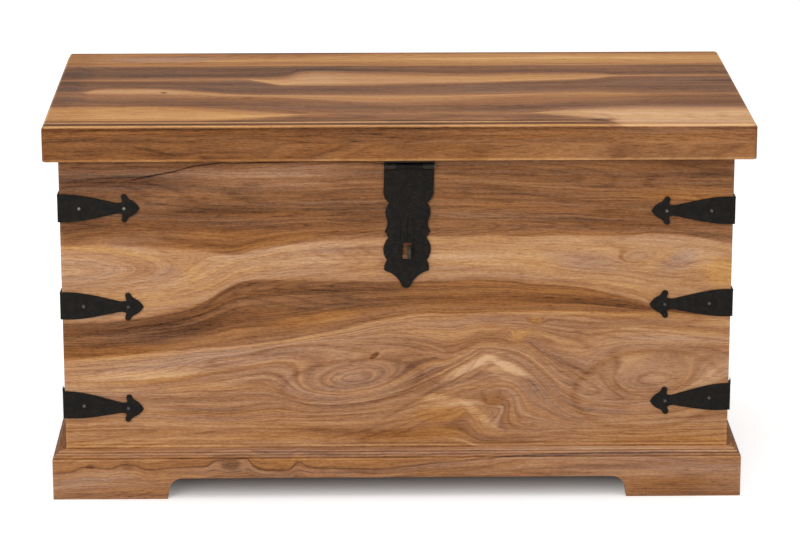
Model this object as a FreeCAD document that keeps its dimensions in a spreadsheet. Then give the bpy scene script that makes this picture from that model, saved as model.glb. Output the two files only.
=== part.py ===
import FreeCAD, Part
import math
import os

import Sketcher

# A wooden storage chest: a panelled box on a moulded plinth, a hinged lid, and black ironwork.
# It stands on the XY plane, its middle over the origin and its front towards -Y.
# All lengths are millimetres. The sheet named dim holds the sizes that can be set by themselves.

SIZES = (
    ("lid_width", 900, "lid, side to side"),
    ("lid_depth", 450, "lid, front to back"),
    ("chest_height", 496, "floor to the top of the lid"),
    ("lid_board_thickness", 24, "boards of the lid's top"),
    ("lid_rail_height", 22, "rails framing the lid's underside"),
    ("lid_rail_width", 46, "rails, outside to inside"),
    ("lid_corner_radius", 6.5, "upright corners of the lid"),
    ("lid_ledge", 1.2, "flat step outside the lid's moulding"),
    ("lid_moulding_radius", 4.2, "quarter round along the lid's top edge"),
    ("lid_moulding_lip", 0.7, "upright lip below the quarter round"),
    ("lid_overhang", 22, "lid past the body, front and back and on average at the ends"),
    ("lid_shift", 3.5, "lid fitted to the right of the body's middle"),
    ("lid_seat_gap", 0.3, "lid rails above the rim"),
    ("edge_ease", 1.2, "softened edges of the woodwork"),
    ("panel_thickness", 20, "body panels"),
    ("panel_lip", 8, "front and back panel left outside the side panels"),
    ("panel_foot", 34, "lower edge of the panels above the floor"),
    ("floor_thickness", 12, "boards of the chest's floor"),
    ("floor_gap", 0.5, "floor boards to each other and to the panels"),
    ("cleat_size", 20, "square cleats under the floor boards"),
    ("plinth_thickness", 17, "plinth boards"),
    ("plinth_face_height", 54, "flat face of the plinth"),
    ("plinth_ledge", 1.5, "flat step outside the plinth's moulding"),
    ("plinth_ovolo_rise", 6.6, "rounded part of the plinth's moulding, upwards"),
    ("plinth_ovolo_run", 6, "rounded part of the plinth's moulding, inwards"),
    ("plinth_fillet_rise", 2.6, "upright fillet above the rounded part"),
    ("front_foot_width", 148, "feet left by the front and back cut-outs"),
    ("side_foot_width", 116, "feet left by the side cut-outs"),
    ("arch_height", 28, "cut-outs under the plinth"),
    ("arch_slant", 4, "lean of a cut-out's ends, over its height"),
    ("arch_corner_drop", 14, "rounded corner of a cut-out, downwards"),
    ("arch_corner_run", 15, "rounded corner of a cut-out, sideways"),
    ("block_size", 52, "glue blocks in the plinth's corners"),
    ("block_nose", 16, "short outer sides of a glue block"),
    ("strap_length", 101.5, "strap arm, corner to tip"),
    ("strap_height", 36, "strap at the corner"),
    ("strap_neck", 12.8, "strap behind its leaf head"),
    ("strap_head_span", 37.6, "leaf head, barb to barb"),
    ("strap_thickness", 2.6, "strap iron"),
    ("strap_bend_radius", 2, "outside of a strap's bend"),
    ("strap_rim_drop", 68, "upper straps below the lid"),
    ("strap_plinth_rise", 64.1, "lower straps above the plinth"),
    ("strap_middle_rise", 2, "middle straps above halfway between the others"),
    ("strap_drift", 3.2, "left straps fitted further apart than the right ones"),
    ("strap_middle_droop", 1, "middle straps, tips turned down from level, degrees"),
    ("strap_bottom_droop", 3.6, "lower straps, tips turned down from level, degrees"),
    ("strap_band_nail", 25, "nail in the wide band, from the corner"),
    ("strap_head_nail", 82, "nail in the leaf head, from the corner"),
    ("nail_head_radius", 3.8, "domed nail heads"),
    ("nail_head_height", 1.7, "domed nail heads"),
    ("nail_shank_radius", 1.4, "nail shanks"),
    ("nail_length", 15, "nails below the head"),
    ("nail_point", 4, "taper of a nail's point"),
    ("nail_clearance", 0.05, "nails and staple in their holes"),
    ("hinge_inset", 148, "middle of a lid hinge from the body's end"),
    ("hinge_length", 70, "lid hinge along its pin"),
    ("hinge_leaf_drop", 34, "body leaf below the pin"),
    ("hinge_leaf_reach", 14, "lid leaf behind the pin"),
    ("hinge_iron", 1.8, "iron of the hinge leaves"),
    ("hinge_knuckle_radius", 4, "rolled knuckles of the lid hinges"),
    ("hinge_stand_off", 0.4, "knuckles clear of the wood"),
    ("hinge_nail_spread", 22, "outer nails of a leaf from its middle"),
    ("hinge_pin_radius", 2.2, "lid hinge pins"),
    ("pin_clearance", 0.05, "pins in their knuckles"),
    ("pin_end_gap", 0.3, "pin heads off the outer knuckles"),
    ("pin_head_rise", 1.4, "domed pin heads"),
    ("pin_head_lip", 0.9, "pin heads past the pin"),
    ("knuckle_gap", 0.4, "knuckles apart along a pin"),
    ("hasp_offset", 15.3, "middle of the hasp right of the body's middle"),
    ("hasp_width", 63.4, "hasp at its shoulders"),
    ("hasp_length", 161, "pin to the hasp's tip"),
    ("hasp_iron", 2.5, "iron of the hasp and its bracket"),
    ("hasp_shoulder_drop", 5.5, "shoulders of the hasp below the pin"),
    ("hasp_knuckle_length", 34, "middle knuckle, rolled from the hasp"),
    ("hasp_knuckle_radius", 4, "rolled knuckles of the hasp hinge"),
    ("hasp_pin_radius", 1.75, "hasp pin"),
    ("hasp_pin_drop", 10.5, "hasp pin below the lid"),
    ("hasp_stand_off", 0.6, "hasp clear of the front panel"),
    ("bracket_reach", 13.5, "bracket's leaf in front of the pin"),
    ("bracket_nail_reach", 5, "bracket's nails in front of the pin"),
    ("bracket_nail_spread", 22, "outer nails of the bracket from its middle"),
    ("slot_width", 11.4, "slot of the hasp"),
    ("slot_height", 21.6, "slot of the hasp"),
    ("slot_drop", 112, "middle of the slot below the pin"),
    ("flute_width", 1.8, "chiselled flutes above the slot"),
    ("flute_depth", 0.6, "chiselled flutes above the slot"),
    ("flute_length", 30, "chiselled flutes above the slot"),
    ("flute_pitch", 8.5, "flutes, middle to middle"),
    ("flute_clear", 3, "flutes above the slot's upper edge"),
    ("staple_wire_radius", 2.25, "staple wire"),
    ("staple_leg_spread", 10.5, "staple legs, middle to middle"),
    ("staple_stand", 12, "straight part of the legs in front of the panel"),
    ("staple_depth", 14, "staple legs inside the panel"),
    ("cut_overrun", 5, "cuts past the faces they open"),
    ("match_gap", 0.01, "how near an edge lies to the place that picks it"),
)

# The four lid boards, front to back, as shares of the lid's depth.
LID_BOARD_SHARES = (0.251, 0.267, 0.280, 0.202)
FLOOR_BOARD_COUNT = 3
HINGE_KNUCKLE_COUNT = 5

# Bow of an arc over a quarter and an eighth of a circle, as a share of its chord.
QUARTER_BOW_SHARE = math.tan(math.radians(90) / 4) / 2
EIGHTH_BOW_SHARE = math.tan(math.radians(45) / 4) / 2
ARCH_BOW_SHARE = 0.17

# Nails of the lid hinges, as shares of how far each leaf reaches from the pin.
BODY_LEAF_NAIL_SHARE = 0.62
LID_LEAF_NAIL_SHARE = 0.66

# Upper edge of a strap arm, corner to tip: share of the arm's length, the height that the point
# follows, share of half that height, and how far the edge to the next point bows outwards.
STRAP_EDGE_SHARES = (
    (0.040, "strap_height", 1.00, 0.020),
    (0.550, "strap_height", 0.535, -0.008),
    (0.724, "strap_neck", 1.00, -0.160),
    (0.763, "strap_neck", 1.30, 0.0),
    (0.770, "strap_head_span", 0.83, 0.400),
    (0.842, "strap_head_span", 0.82, -0.070),
    (0.880, "strap_head_span", 0.58, 0.090),
)

# Right edge of the hasp, shoulder to tip: share of half its width, share of the drop from the
# shoulder to the tip, and how far the edge to the next point bows outwards.
HASP_EDGE_SHARES = (
    (1.000, 0.000, 0.0),
    (1.000, 0.166, 0.150),
    (0.751, 0.278, 0.155),
    (0.826, 0.422, -0.110),
    (0.921, 0.518, -0.070),
    (0.776, 0.578, 0.186),
    (0.795, 0.764, 0.090),
    (0.902, 0.831, 0.220),
    (0.830, 0.855, -0.116),
    (0.190, 0.974, 0.330),
)

BODY_WIDTH = "(dim.lid_width - 2 * dim.lid_overhang)"
BODY_DEPTH = "(dim.lid_depth - 2 * dim.lid_overhang)"
BODY_MIDDLE = "(-1 * dim.lid_shift)"
HASP_MIDDLE = f"({BODY_MIDDLE} + dim.hasp_offset)"
LID_FOOT = "(dim.chest_height - dim.lid_board_thickness - dim.lid_rail_height)"
PANEL_HEIGHT = f"({LID_FOOT} - dim.lid_seat_gap - dim.panel_foot)"
INNER_WIDTH = f"({BODY_WIDTH} - 2 * dim.panel_thickness)"
INNER_DEPTH = f"({BODY_DEPTH} - 2 * dim.panel_thickness)"
PLINTH_WIDTH = f"({BODY_WIDTH} + 2 * dim.plinth_thickness)"
PLINTH_DEPTH = f"({BODY_DEPTH} + 2 * dim.plinth_thickness)"
HINGE_AXIS_OUT = "(dim.hinge_knuckle_radius + dim.hinge_stand_off)"
HASP_AXIS_OUT = "(dim.hasp_knuckle_radius + dim.hasp_stand_off)"
HASP_AXIS_HEIGHT = f"({LID_FOOT} - dim.hasp_pin_drop)"
NAIL_HOLE_RADIUS = "(dim.nail_shank_radius + dim.nail_clearance)"
NAIL_HOLE_DEPTH = "(dim.nail_length + dim.nail_clearance)"
STAPLE_HOLE_RADIUS = "(dim.staple_wire_radius + dim.nail_clearance)"
BODY_LEAF_NAIL_DROP = f"({BODY_LEAF_NAIL_SHARE} * dim.hinge_leaf_drop)"
BODY_LEAF_NAIL_HEIGHT = f"({LID_FOOT} - {HINGE_AXIS_OUT} - {BODY_LEAF_NAIL_DROP})"
LID_LEAF_NAIL_OUT = f"({LID_LEAF_NAIL_SHARE} * dim.hinge_leaf_reach)"

# Heights of the straps' middles on each side of the chest, top to bottom.
PLINTH_TOP = "(dim.plinth_face_height + dim.plinth_ovolo_rise + dim.plinth_fillet_rise)"
STRAP_TOP = f"({LID_FOOT} - dim.strap_rim_drop)"
STRAP_LOW = f"({PLINTH_TOP} + dim.strap_plinth_rise)"
STRAP_MIDDLE = f"(({STRAP_TOP} + {STRAP_LOW}) / 2 + dim.strap_middle_rise)"
STRAP_HEIGHTS = {
    "left": (
        ("top", f"({STRAP_TOP} + dim.strap_drift)"),
        ("middle", STRAP_MIDDLE),
        ("bottom", f"({STRAP_LOW} - dim.strap_drift)"),
    ),
    "right": (
        ("top", f"({STRAP_TOP} - dim.strap_drift)"),
        ("middle", STRAP_MIDDLE),
        ("bottom", f"({STRAP_LOW} + dim.strap_drift)"),
    ),
}

# Angle by which the arms of a strap turn down from the corner.
STRAP_DROOPS = {"top": "0", "middle": "dim.strap_middle_droop", "bottom": "dim.strap_bottom_droop"}

# Turns about Z that bring a piece modelled for the front round to each side of the chest.
SIDE_TURNS = {"front": 0, "right": 90, "back": 180, "left": -90}
CORNER_TURNS = {"front_left": 0, "front_right": 90, "back_right": 180, "back_left": -90}
HINGE_SIDES = {"left": -1, "right": 1}

UP = FreeCAD.Vector(0, 0, 1)
ACROSS = FreeCAD.Vector(1, 0, 0)
FACING_FRONT = FreeCAD.Rotation(ACROSS, 90)
FACING_DOWN = FreeCAD.Rotation(ACROSS, 180)
FACING_BACK = FreeCAD.Rotation(ACROSS, -90)

doc = FreeCAD.newDocument("StorageChest")
dim = doc.addObject("Spreadsheet::Sheet", "dim")
nodes = []


def fill_sheet():
    """Writes the sizes into the sheet, one row each, with the size's name as the cell's alias."""
    for row, (alias, size, note) in enumerate(SIZES, start=1):
        dim.set(f"A{row}", alias)
        dim.set(f"B{row}", str(size))
        dim.setAlias(f"B{row}", alias)
        dim.set(f"C{row}", note)
    doc.recompute()


def number(expression):
    """What an expression over the sheet comes to."""
    return float(dim.evalExpression(expression))


def place(item, x="0", y="0", z="0", rotation=None):
    """Sets an object down with its place bound to the sheet."""
    spot = FreeCAD.Vector(number(x), number(y), number(z))
    item.Placement = FreeCAD.Placement(spot, rotation or FreeCAD.Rotation())
    item.setExpression("Placement.Base.x", x)
    item.setExpression("Placement.Base.y", y)
    item.setExpression("Placement.Base.z", z)


def node(item, label):
    """Marks a finished object as a piece of the chest."""
    item.Label = label
    nodes.append(item)
    return item


def new_body(name):
    """An empty PartDesign body."""
    return doc.addObject("PartDesign::Body", name)


def sketch_on(body, role, rise="0"):
    """A sketch on one of the body's own planes, lifted along the plane's normal."""
    sketch = body.newObject("Sketcher::SketchObject", f"{body.Name}_sketch")
    flat = next(item for item in body.Origin.OriginFeatures if item.Role == role)
    sketch.AttachmentSupport = (flat, [""])
    sketch.MapMode = "FlatFace"
    sketch.setExpression("AttachmentOffset.Base.z", rise)
    return sketch


def pin_down(sketch, kind, geometry, point, expression):
    """Adds one constraint to a sketch and binds it to the sheet."""
    ends = (geometry,) if point is None else (geometry, point)
    index = sketch.addConstraint(Sketcher.Constraint(kind, *ends, number(expression)))
    sketch.setExpression(f"Constraints[{index}]", expression)


def left_turning_arc(first, last, bow):
    """Arc that turns left from one point to another, bowing to the right by a share of the chord."""
    run = last - first
    aside = FreeCAD.Vector(-run.y, run.x, 0)
    radius = run.Length * (0.25 + bow * bow) / (2 * abs(bow))
    centre = first + run / 2 + aside * (bow + radius / run.Length)
    start, end = (math.atan2(spot.y - centre.y, spot.x - centre.x) for spot in (first, last))
    return Part.ArcOfCircle(Part.Circle(centre, UP, radius), start, end)


def outline(sketch, corners, closed=True):
    """Draws an outline in a sketch, closed or as an open path.

    A corner is (x, y, bow): x and y are expressions, and bow is the sideways reach of the edge
    to the next corner, as a share of its chord, to the left of the way the outline runs.
    """
    spots = [FreeCAD.Vector(number(x), number(y), 0) for x, y, bow in corners]
    edges = []
    starts = corners if closed else corners[:-1]
    for index, (x, y, bow) in enumerate(starts):
        first, last = spots[index], spots[(index + 1) % len(spots)]
        if bow == 0:
            edges.append((sketch.addGeometry(Part.LineSegment(first, last)), 1, 2))
        elif bow < 0:
            edges.append((sketch.addGeometry(left_turning_arc(first, last, bow)), 1, 2))
        else:
            edges.append((sketch.addGeometry(left_turning_arc(last, first, -bow)), 2, 1))
    for (edge, _, end), (following, start, _) in zip(edges, edges[1:]):
        sketch.addConstraint(Sketcher.Constraint("Coincident", edge, end, following, start))
    last_edge, _, last_end = edges[-1]
    if closed:
        first_edge, first_start, _ = edges[0]
        meet = Sketcher.Constraint("Coincident", last_edge, last_end, first_edge, first_start)
        sketch.addConstraint(meet)
    else:
        pin_down(sketch, "DistanceX", last_edge, last_end, corners[-1][0])
        pin_down(sketch, "DistanceY", last_edge, last_end, corners[-1][1])
    for index, (x, y, bow) in enumerate(starts):
        edge, start, _ = edges[index]
        pin_down(sketch, "DistanceX", edge, start, x)
        pin_down(sketch, "DistanceY", edge, start, y)
        if bow != 0:
            far_x, far_y, _ = corners[(index + 1) % len(corners)]
            chord = f"sqrt((({far_x}) - ({x}))^2 + (({far_y}) - ({y}))^2)"
            radius_share = (0.25 + bow * bow) / (2 * abs(bow))
            pin_down(sketch, "Radius", edge, None, f"{radius_share} * {chord}")


def dome_bow(radius, rise):
    """Bow share of the arc from a dome's top to its rim, for a dome that is part of a ball."""
    return math.tan(math.atan2(number(rise), number(radius)) / 2) / 2


def rectangle(sketch, low_x, high_x, low_y, high_y):
    """Draws a rectangle between four expressions."""
    corners = ((low_x, low_y, 0), (low_x, high_y, 0), (high_x, high_y, 0), (high_x, low_y, 0))
    outline(sketch, corners)


def circles(sketch, centres, radius):
    """Draws one circle round each centre, given as a pair of expressions."""
    for x, y in centres:
        spot = FreeCAD.Vector(number(x), number(y), 0)
        ring = sketch.addGeometry(Part.Circle(spot, UP, number(radius)))
        pin_down(sketch, "DistanceX", ring, 3, x)
        pin_down(sketch, "DistanceY", ring, 3, y)
        pin_down(sketch, "Radius", ring, None, radius)


def pad(body, sketch, length, both_ways=False, backwards=False):
    """Pads a sketch along its plane's normal, or half to each side."""
    feature = body.newObject("PartDesign::Pad", f"{body.Name}_pad")
    feature.Profile = sketch
    feature.setExpression("Length", length)
    feature.Midplane = both_ways
    feature.Reversed = backwards
    doc.recompute()
    return feature


def pocket(body, sketch, length, both_ways=False, backwards=False):
    """Cuts a sketch into the body against its plane's normal, or half to each side."""
    before = body.Shape.Volume
    feature = body.newObject("PartDesign::Pocket", f"{body.Name}_pocket")
    feature.Profile = sketch
    feature.setExpression("Length", length)
    feature.Midplane = both_ways
    feature.Reversed = backwards
    doc.recompute()
    if not body.Shape.Volume < before:
        raise RuntimeError(f"{feature.Name} cuts nothing")
    return feature


def soften(body, radius, picks):
    """Fillets the edges of the body's last feature that the test picks."""
    base = body.Tip
    names = [f"Edge{index}" for index, edge in enumerate(base.Shape.Edges, start=1) if picks(edge)]
    feature = body.newObject("PartDesign::Fillet", f"{body.Name}_fillet")
    feature.Base = (base, names)
    feature.setExpression("Radius", radius)
    doc.recompute()
    return feature


def near(a, b):
    """True if two lengths are the same but for rounding."""
    return abs(a - b) < number("dim.match_gap")


def middle_of(edge):
    """Point halfway along an edge."""
    return edge.valueAt((edge.FirstParameter + edge.LastParameter) / 2)


def upright(edge):
    """True if an edge is a line along Z."""
    return len(edge.Vertexes) == 2 and near(edge.BoundBox.XLength + edge.BoundBox.YLength, 0)


def copy_of(pattern, name):
    """A body of its own that repeats a pattern body's shape."""
    body = new_body(name)
    base = body.newObject("PartDesign::FeatureBase", f"{name}_base")
    base.BaseFeature = pattern
    body.Tip = base
    return body


def group(parts, label):
    """One piece made of several separate solids."""
    bundle = doc.addObject("Part::Compound", label)
    bundle.Links = parts
    return node(bundle, label)


def mirrored(edge_points, x_sign, y_sign):
    """Continues a half outline with its mirror image, running back to where it started."""
    points = list(edge_points)
    for index in reversed(range(len(edge_points))):
        x, y, _ = edge_points[index]
        bow = edge_points[index - 1][2] if index > 0 else 0
        points.append((f"{x_sign} * ({x})", f"{y_sign} * ({y})", bow))
    return points


def on_side(side, along, out, width, depth, middle="0"):
    """World x and y of a point on a side face, given along the face and outwards from it."""
    return {
        "front": (f"({middle} + ({along}))", f"(-{depth} / 2 - ({out}))"),
        "back": (f"({middle} - ({along}))", f"({depth} / 2 + ({out}))"),
        "left": (f"({middle} - {width} / 2 - ({out}))", f"(-1 * ({along}))"),
        "right": (f"({middle} + {width} / 2 + ({out}))", f"({along})"),
    }[side]


def drooped(level, along, rise):
    """Where a point of a strap's arm lies once the arm is turned down about the corner."""
    droop = STRAP_DROOPS[level]
    if droop == "0":
        return along, rise
    return (
        f"(({along}) * cos({droop}) + ({rise}) * sin({droop}))",
        f"(({rise}) * cos({droop}) - ({along}) * sin({droop}))",
    )


def strap_nail_spots(side):
    """Strap nails on a side face, as (corner, along the face, height above the floor)."""
    face = BODY_WIDTH if side in ("front", "back") else BODY_DEPTH
    neighbours = {"front": ("left", "right"), "back": ("right", "left")}.get(side, (side, side))
    corners = {
        "front": ("front_left", "front_right"),
        "back": ("back_right", "back_left"),
        "left": ("back_left", "front_left"),
        "right": ("front_right", "back_right"),
    }[side]
    spots = []
    for sign, neighbour, corner in zip((-1, 1), neighbours, corners):
        for nail in ("dim.strap_band_nail", "dim.strap_head_nail"):
            for level, height in STRAP_HEIGHTS[neighbour]:
                reach, rise = drooped(level, nail, "0")
                spots.append((corner, f"({sign} * ({face} / 2 - {reach}))", f"({height} + {rise})"))
    return spots


def hinge_offset(side):
    """Middle of a lid hinge, to the right of the body's middle."""
    return f"({HINGE_SIDES[side]} * ({BODY_WIDTH} / 2 - dim.hinge_inset))"


def leaf_nail_steps():
    """Places of a hinge leaf's three nails along the pin, from its middle."""
    return [f"({step} * dim.hinge_nail_spread)" for step in (-1, 0, 1)]


def bracket_nail_steps():
    """Places of the hasp bracket's three nails along the pin, from its middle."""
    return [f"({step} * dim.bracket_nail_spread)" for step in (-1, 0, 1)]


def drill(body, centres, radius, depth):
    """Sinks blind holes into a piece from its outer face, the plane y = 0."""
    holes = sketch_on(body, "XZ_Plane")
    circles(holes, centres, radius)
    pocket(body, holes, depth)


def make_panel(side):
    """One wall of the body, outer face on y = 0. Front and back lap over the side panels."""
    label = f"{side}_panel"
    body = new_body(label)
    plan = sketch_on(body, "XY_Plane")
    if side in ("front", "back"):
        end, shoulder = f"{BODY_WIDTH} / 2", f"{INNER_WIDTH} / 2"
        half = (
            (f"{end}", "0", 0),
            (f"{end}", "dim.panel_lip", 0),
            (f"{shoulder}", "dim.panel_lip", 0),
            (f"{shoulder}", "dim.panel_thickness", 0),
        )
        outline(plan, mirrored(half, -1, 1))
    else:
        end = f"({BODY_DEPTH} / 2 - dim.panel_lip)"
        rectangle(plan, f"-{end}", end, "0", "dim.panel_thickness")
    pad(body, plan, PANEL_HEIGHT)
    if side in ("front", "back"):
        soften(body, "dim.edge_ease", lambda edge: upright(edge) and near(edge.CenterOfMass.y, 0))
    spots = [(along, f"({z} - dim.panel_foot)") for _, along, z in strap_nail_spots(side)]
    drill(body, spots, NAIL_HOLE_RADIUS, f"({NAIL_HOLE_DEPTH} - dim.strap_thickness)")
    if side == "back":
        height = f"({BODY_LEAF_NAIL_HEIGHT} - dim.panel_foot)"
        for hinge in HINGE_SIDES:
            spots = [(f"(-1 * ({hinge_offset(hinge)} + {step}))", height) for step in leaf_nail_steps()]
            drill(body, spots, NAIL_HOLE_RADIUS, f"({NAIL_HOLE_DEPTH} - dim.hinge_iron)")
    if side == "front":
        middle = f"({HASP_AXIS_HEIGHT} - dim.slot_drop - dim.panel_foot)"
        legs = [("dim.hasp_offset", f"({middle} + {way} * dim.staple_leg_spread / 2)") for way in (-1, 1)]
        drill(body, legs, STAPLE_HOLE_RADIUS, "(dim.staple_depth + dim.nail_clearance)")
    x, y = on_side(side, "0", "0", BODY_WIDTH, BODY_DEPTH, BODY_MIDDLE)
    place(body, x, y, "dim.panel_foot", FreeCAD.Rotation(UP, SIDE_TURNS[side]))
    node(body, label)


def make_box(label, length, width, height, x, y, z):
    """A plain sawn piece, centred on x and y and standing on z."""
    box = doc.addObject("Part::Box", label)
    box.setExpression("Length", length)
    box.setExpression("Width", width)
    box.setExpression("Height", height)
    place(box, f"({x}) - ({length}) / 2", f"({y}) - ({width}) / 2", z)
    return box


def make_floor():
    """Floor boards lying on four cleats round the foot of the panels."""
    reach = f"(({INNER_DEPTH} - dim.cleat_size) / 2)"
    for side, way in (("front", -1), ("back", 1)):
        cleat = f"floor_cleat_{side}"
        box = make_box(cleat, INNER_WIDTH, "dim.cleat_size", "dim.cleat_size", BODY_MIDDLE,
                       f"{way} * {reach}", "dim.panel_foot")
        node(box, cleat)
    reach = f"(({INNER_WIDTH} - dim.cleat_size) / 2)"
    between = f"({INNER_DEPTH} - 2 * dim.cleat_size)"
    for side, way in (("left", -1), ("right", 1)):
        cleat = f"floor_cleat_{side}"
        box = make_box(cleat, "dim.cleat_size", between, "dim.cleat_size",
                       f"{BODY_MIDDLE} + {way} * {reach}", "0", "dim.panel_foot")
        node(box, cleat)
    pitch = f"(({INNER_DEPTH} - dim.floor_gap) / {FLOOR_BOARD_COUNT})"
    for index in range(FLOOR_BOARD_COUNT):
        board = f"floor_board_{index + 1}"
        y = f"({index - (FLOOR_BOARD_COUNT - 1) / 2} * {pitch})"
        box = make_box(board, f"({INNER_WIDTH} - 2 * dim.floor_gap)", f"({pitch} - dim.floor_gap)",
                       "dim.floor_thickness", BODY_MIDDLE, y, "(dim.panel_foot + dim.cleat_size)")
        node(box, board)


def make_plinth(side):
    """One plinth board: moulded along the top, mitred at both ends and cut out into two feet."""
    label = f"plinth_{side}"
    wide = side in ("front", "back")
    length = PLINTH_WIDTH if wide else PLINTH_DEPTH
    foot = "dim.front_foot_width" if wide else "dim.side_foot_width"
    body = new_body(label)
    profile = sketch_on(body, "YZ_Plane")
    shelf = "(dim.plinth_face_height + dim.plinth_ovolo_rise)"
    inset = "(dim.plinth_ledge + dim.plinth_ovolo_run)"
    outline(profile, (
        ("0", "0", 0),
        ("0", "dim.plinth_face_height", 0),
        ("dim.plinth_ledge", "dim.plinth_face_height", QUARTER_BOW_SHARE),
        (inset, shelf, 0),
        (inset, PLINTH_TOP, 0),
        ("dim.plinth_thickness", PLINTH_TOP, 0),
        ("dim.plinth_thickness", "0", 0),
    ))
    pad(body, profile, length, both_ways=True)
    face = number("dim.plinth_face_height")

    def on_ledge(edge):
        return near(middle_of(edge).y, 0) and near(middle_of(edge).z, face)

    soften(body, "dim.edge_ease / 2", on_ledge)
    mitres = sketch_on(body, "XY_Plane")
    far, near_end = f"({length} / 2 + dim.cut_overrun)", f"({length} / 2)"
    inner = "(dim.plinth_thickness + dim.cut_overrun)"
    for way in (1, -1):
        outline(mitres, (
            (f"{way} * {far}", "-dim.cut_overrun", 0),
            (f"{way} * {far}", inner, 0),
            (f"{way} * ({near_end} - {inner})", inner, 0),
        ))
    pocket(body, mitres, PLINTH_TOP, backwards=True)
    arch = sketch_on(body, "XZ_Plane")
    end = f"({length} / 2 - {foot})"
    lean = "(dim.arch_slant / dim.arch_height)"
    spring = "(dim.arch_height - dim.arch_corner_drop)"
    half = (
        (f"({end} + dim.cut_overrun * {lean})", "-dim.cut_overrun", 0),
        (f"({end} - {spring} * {lean})", spring, -ARCH_BOW_SHARE),
        (f"({end} - dim.arch_slant - dim.arch_corner_run)", "dim.arch_height", 0),
    )
    outline(arch, mirrored(half, -1, 1))
    pocket(body, arch, "dim.plinth_thickness")
    x, y = on_side(side, "0", "0", PLINTH_WIDTH, PLINTH_DEPTH, BODY_MIDDLE)
    place(body, x, y, "0", FreeCAD.Rotation(UP, SIDE_TURNS[side]))
    node(body, label)


def corner_spot(corner):
    """World x and y of one of the body's four upright corners."""
    depth_side, width_side = corner.split("_")
    across, along = {"left": -1, "right": 1}[width_side], {"front": -1, "back": 1}[depth_side]
    return f"({BODY_MIDDLE} + {across} * {BODY_WIDTH} / 2)", f"({along} * {BODY_DEPTH} / 2)"


def make_blocks():
    """Glue blocks under the body's corners, behind the plinth."""
    pattern = new_body("block_pattern")
    plan = sketch_on(pattern, "XY_Plane")
    outline(plan, (
        ("0", "0", 0),
        ("0", "dim.block_size", 0),
        ("dim.block_nose", "dim.block_size", 0),
        ("dim.block_size", "dim.block_nose", 0),
        ("dim.block_size", "0", 0),
    ))
    pad(pattern, plan, "dim.panel_foot")
    for corner, turn in CORNER_TURNS.items():
        label = f"foot_block_{corner}"
        block = copy_of(pattern, label)
        x, y = corner_spot(corner)
        place(block, x, y, "0", FreeCAD.Rotation(UP, turn))
        node(block, label)


def strap_arm(level):
    """Outline of one strap arm, from behind the corner to the leaf tip and back."""
    upper = [("-dim.strap_thickness", "dim.strap_height / 2", 0)]
    for along, height, share, bow in STRAP_EDGE_SHARES:
        upper.append((f"{along} * dim.strap_length", f"{share} * dim.{height} / 2", bow))
    lower = mirrored(upper, 1, -1)[len(upper):]
    tip_bow = upper[-1][2]
    lower[0] = (lower[0][0], lower[0][1], upper[-2][2])
    corners = upper + [("dim.strap_length", "0", tip_bow)] + lower
    turned = [(*drooped(level, x, y), bow) for x, y, bow in corners[1:-1]]
    return corners[:1] + turned + corners[-1:]


def make_strap_pattern(level):
    """One iron strap bent round a corner, its bend on the Z axis and a leaf head on both arms."""
    pattern = new_body(f"strap_pattern_{level}")
    for role, backwards in (("XZ_Plane", False), ("YZ_Plane", True)):
        arm = sketch_on(pattern, role)
        outline(arm, strap_arm(level))
        pad(pattern, arm, "dim.strap_thickness", backwards=backwards)
    edge_at = -number("dim.strap_thickness")

    def on_bend(edge):
        return upright(edge) and near(edge.CenterOfMass.x, edge_at) and near(edge.CenterOfMass.y, edge_at)

    soften(pattern, "dim.strap_bend_radius", on_bend)
    spots = [drooped(level, nail, "0") for nail in ("dim.strap_band_nail", "dim.strap_head_nail")]
    for role, backwards in (("XZ_Plane", True), ("YZ_Plane", False)):
        holes = sketch_on(pattern, role)
        circles(holes, spots, NAIL_HOLE_RADIUS)
        pocket(pattern, holes, "dim.strap_thickness", backwards=backwards)
    return pattern


def make_straps():
    """Twelve iron straps, three to a corner."""
    patterns = {level: make_strap_pattern(level) for level in STRAP_DROOPS}
    for corner, turn in CORNER_TURNS.items():
        x, y = corner_spot(corner)
        for level, height in STRAP_HEIGHTS[corner.split("_")[1]]:
            label = f"corner_strap_{corner}_{level}"
            strap = copy_of(patterns[level], label)
            place(strap, x, y, height, FreeCAD.Rotation(UP, turn))
            node(strap, label)


def make_nail_pattern():
    """A forged nail along Z, its domed head standing on z = 0."""
    pattern = new_body("nail_pattern")
    half = sketch_on(pattern, "XZ_Plane")
    outline(half, (
        ("0", "-dim.nail_length", 0),
        ("0", "dim.nail_head_height", dome_bow("dim.nail_head_radius", "dim.nail_head_height")),
        ("dim.nail_head_radius", "0", 0),
        ("dim.nail_shank_radius", "0", 0),
        ("dim.nail_shank_radius", "-(dim.nail_length - dim.nail_point)", 0),
    ))
    turned = pattern.newObject("PartDesign::Revolution", "nail_turned")
    turned.Profile = half
    turned.ReferenceAxis = (half, ["V_Axis"])
    turned.Angle = 360
    doc.recompute()
    return pattern


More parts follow.
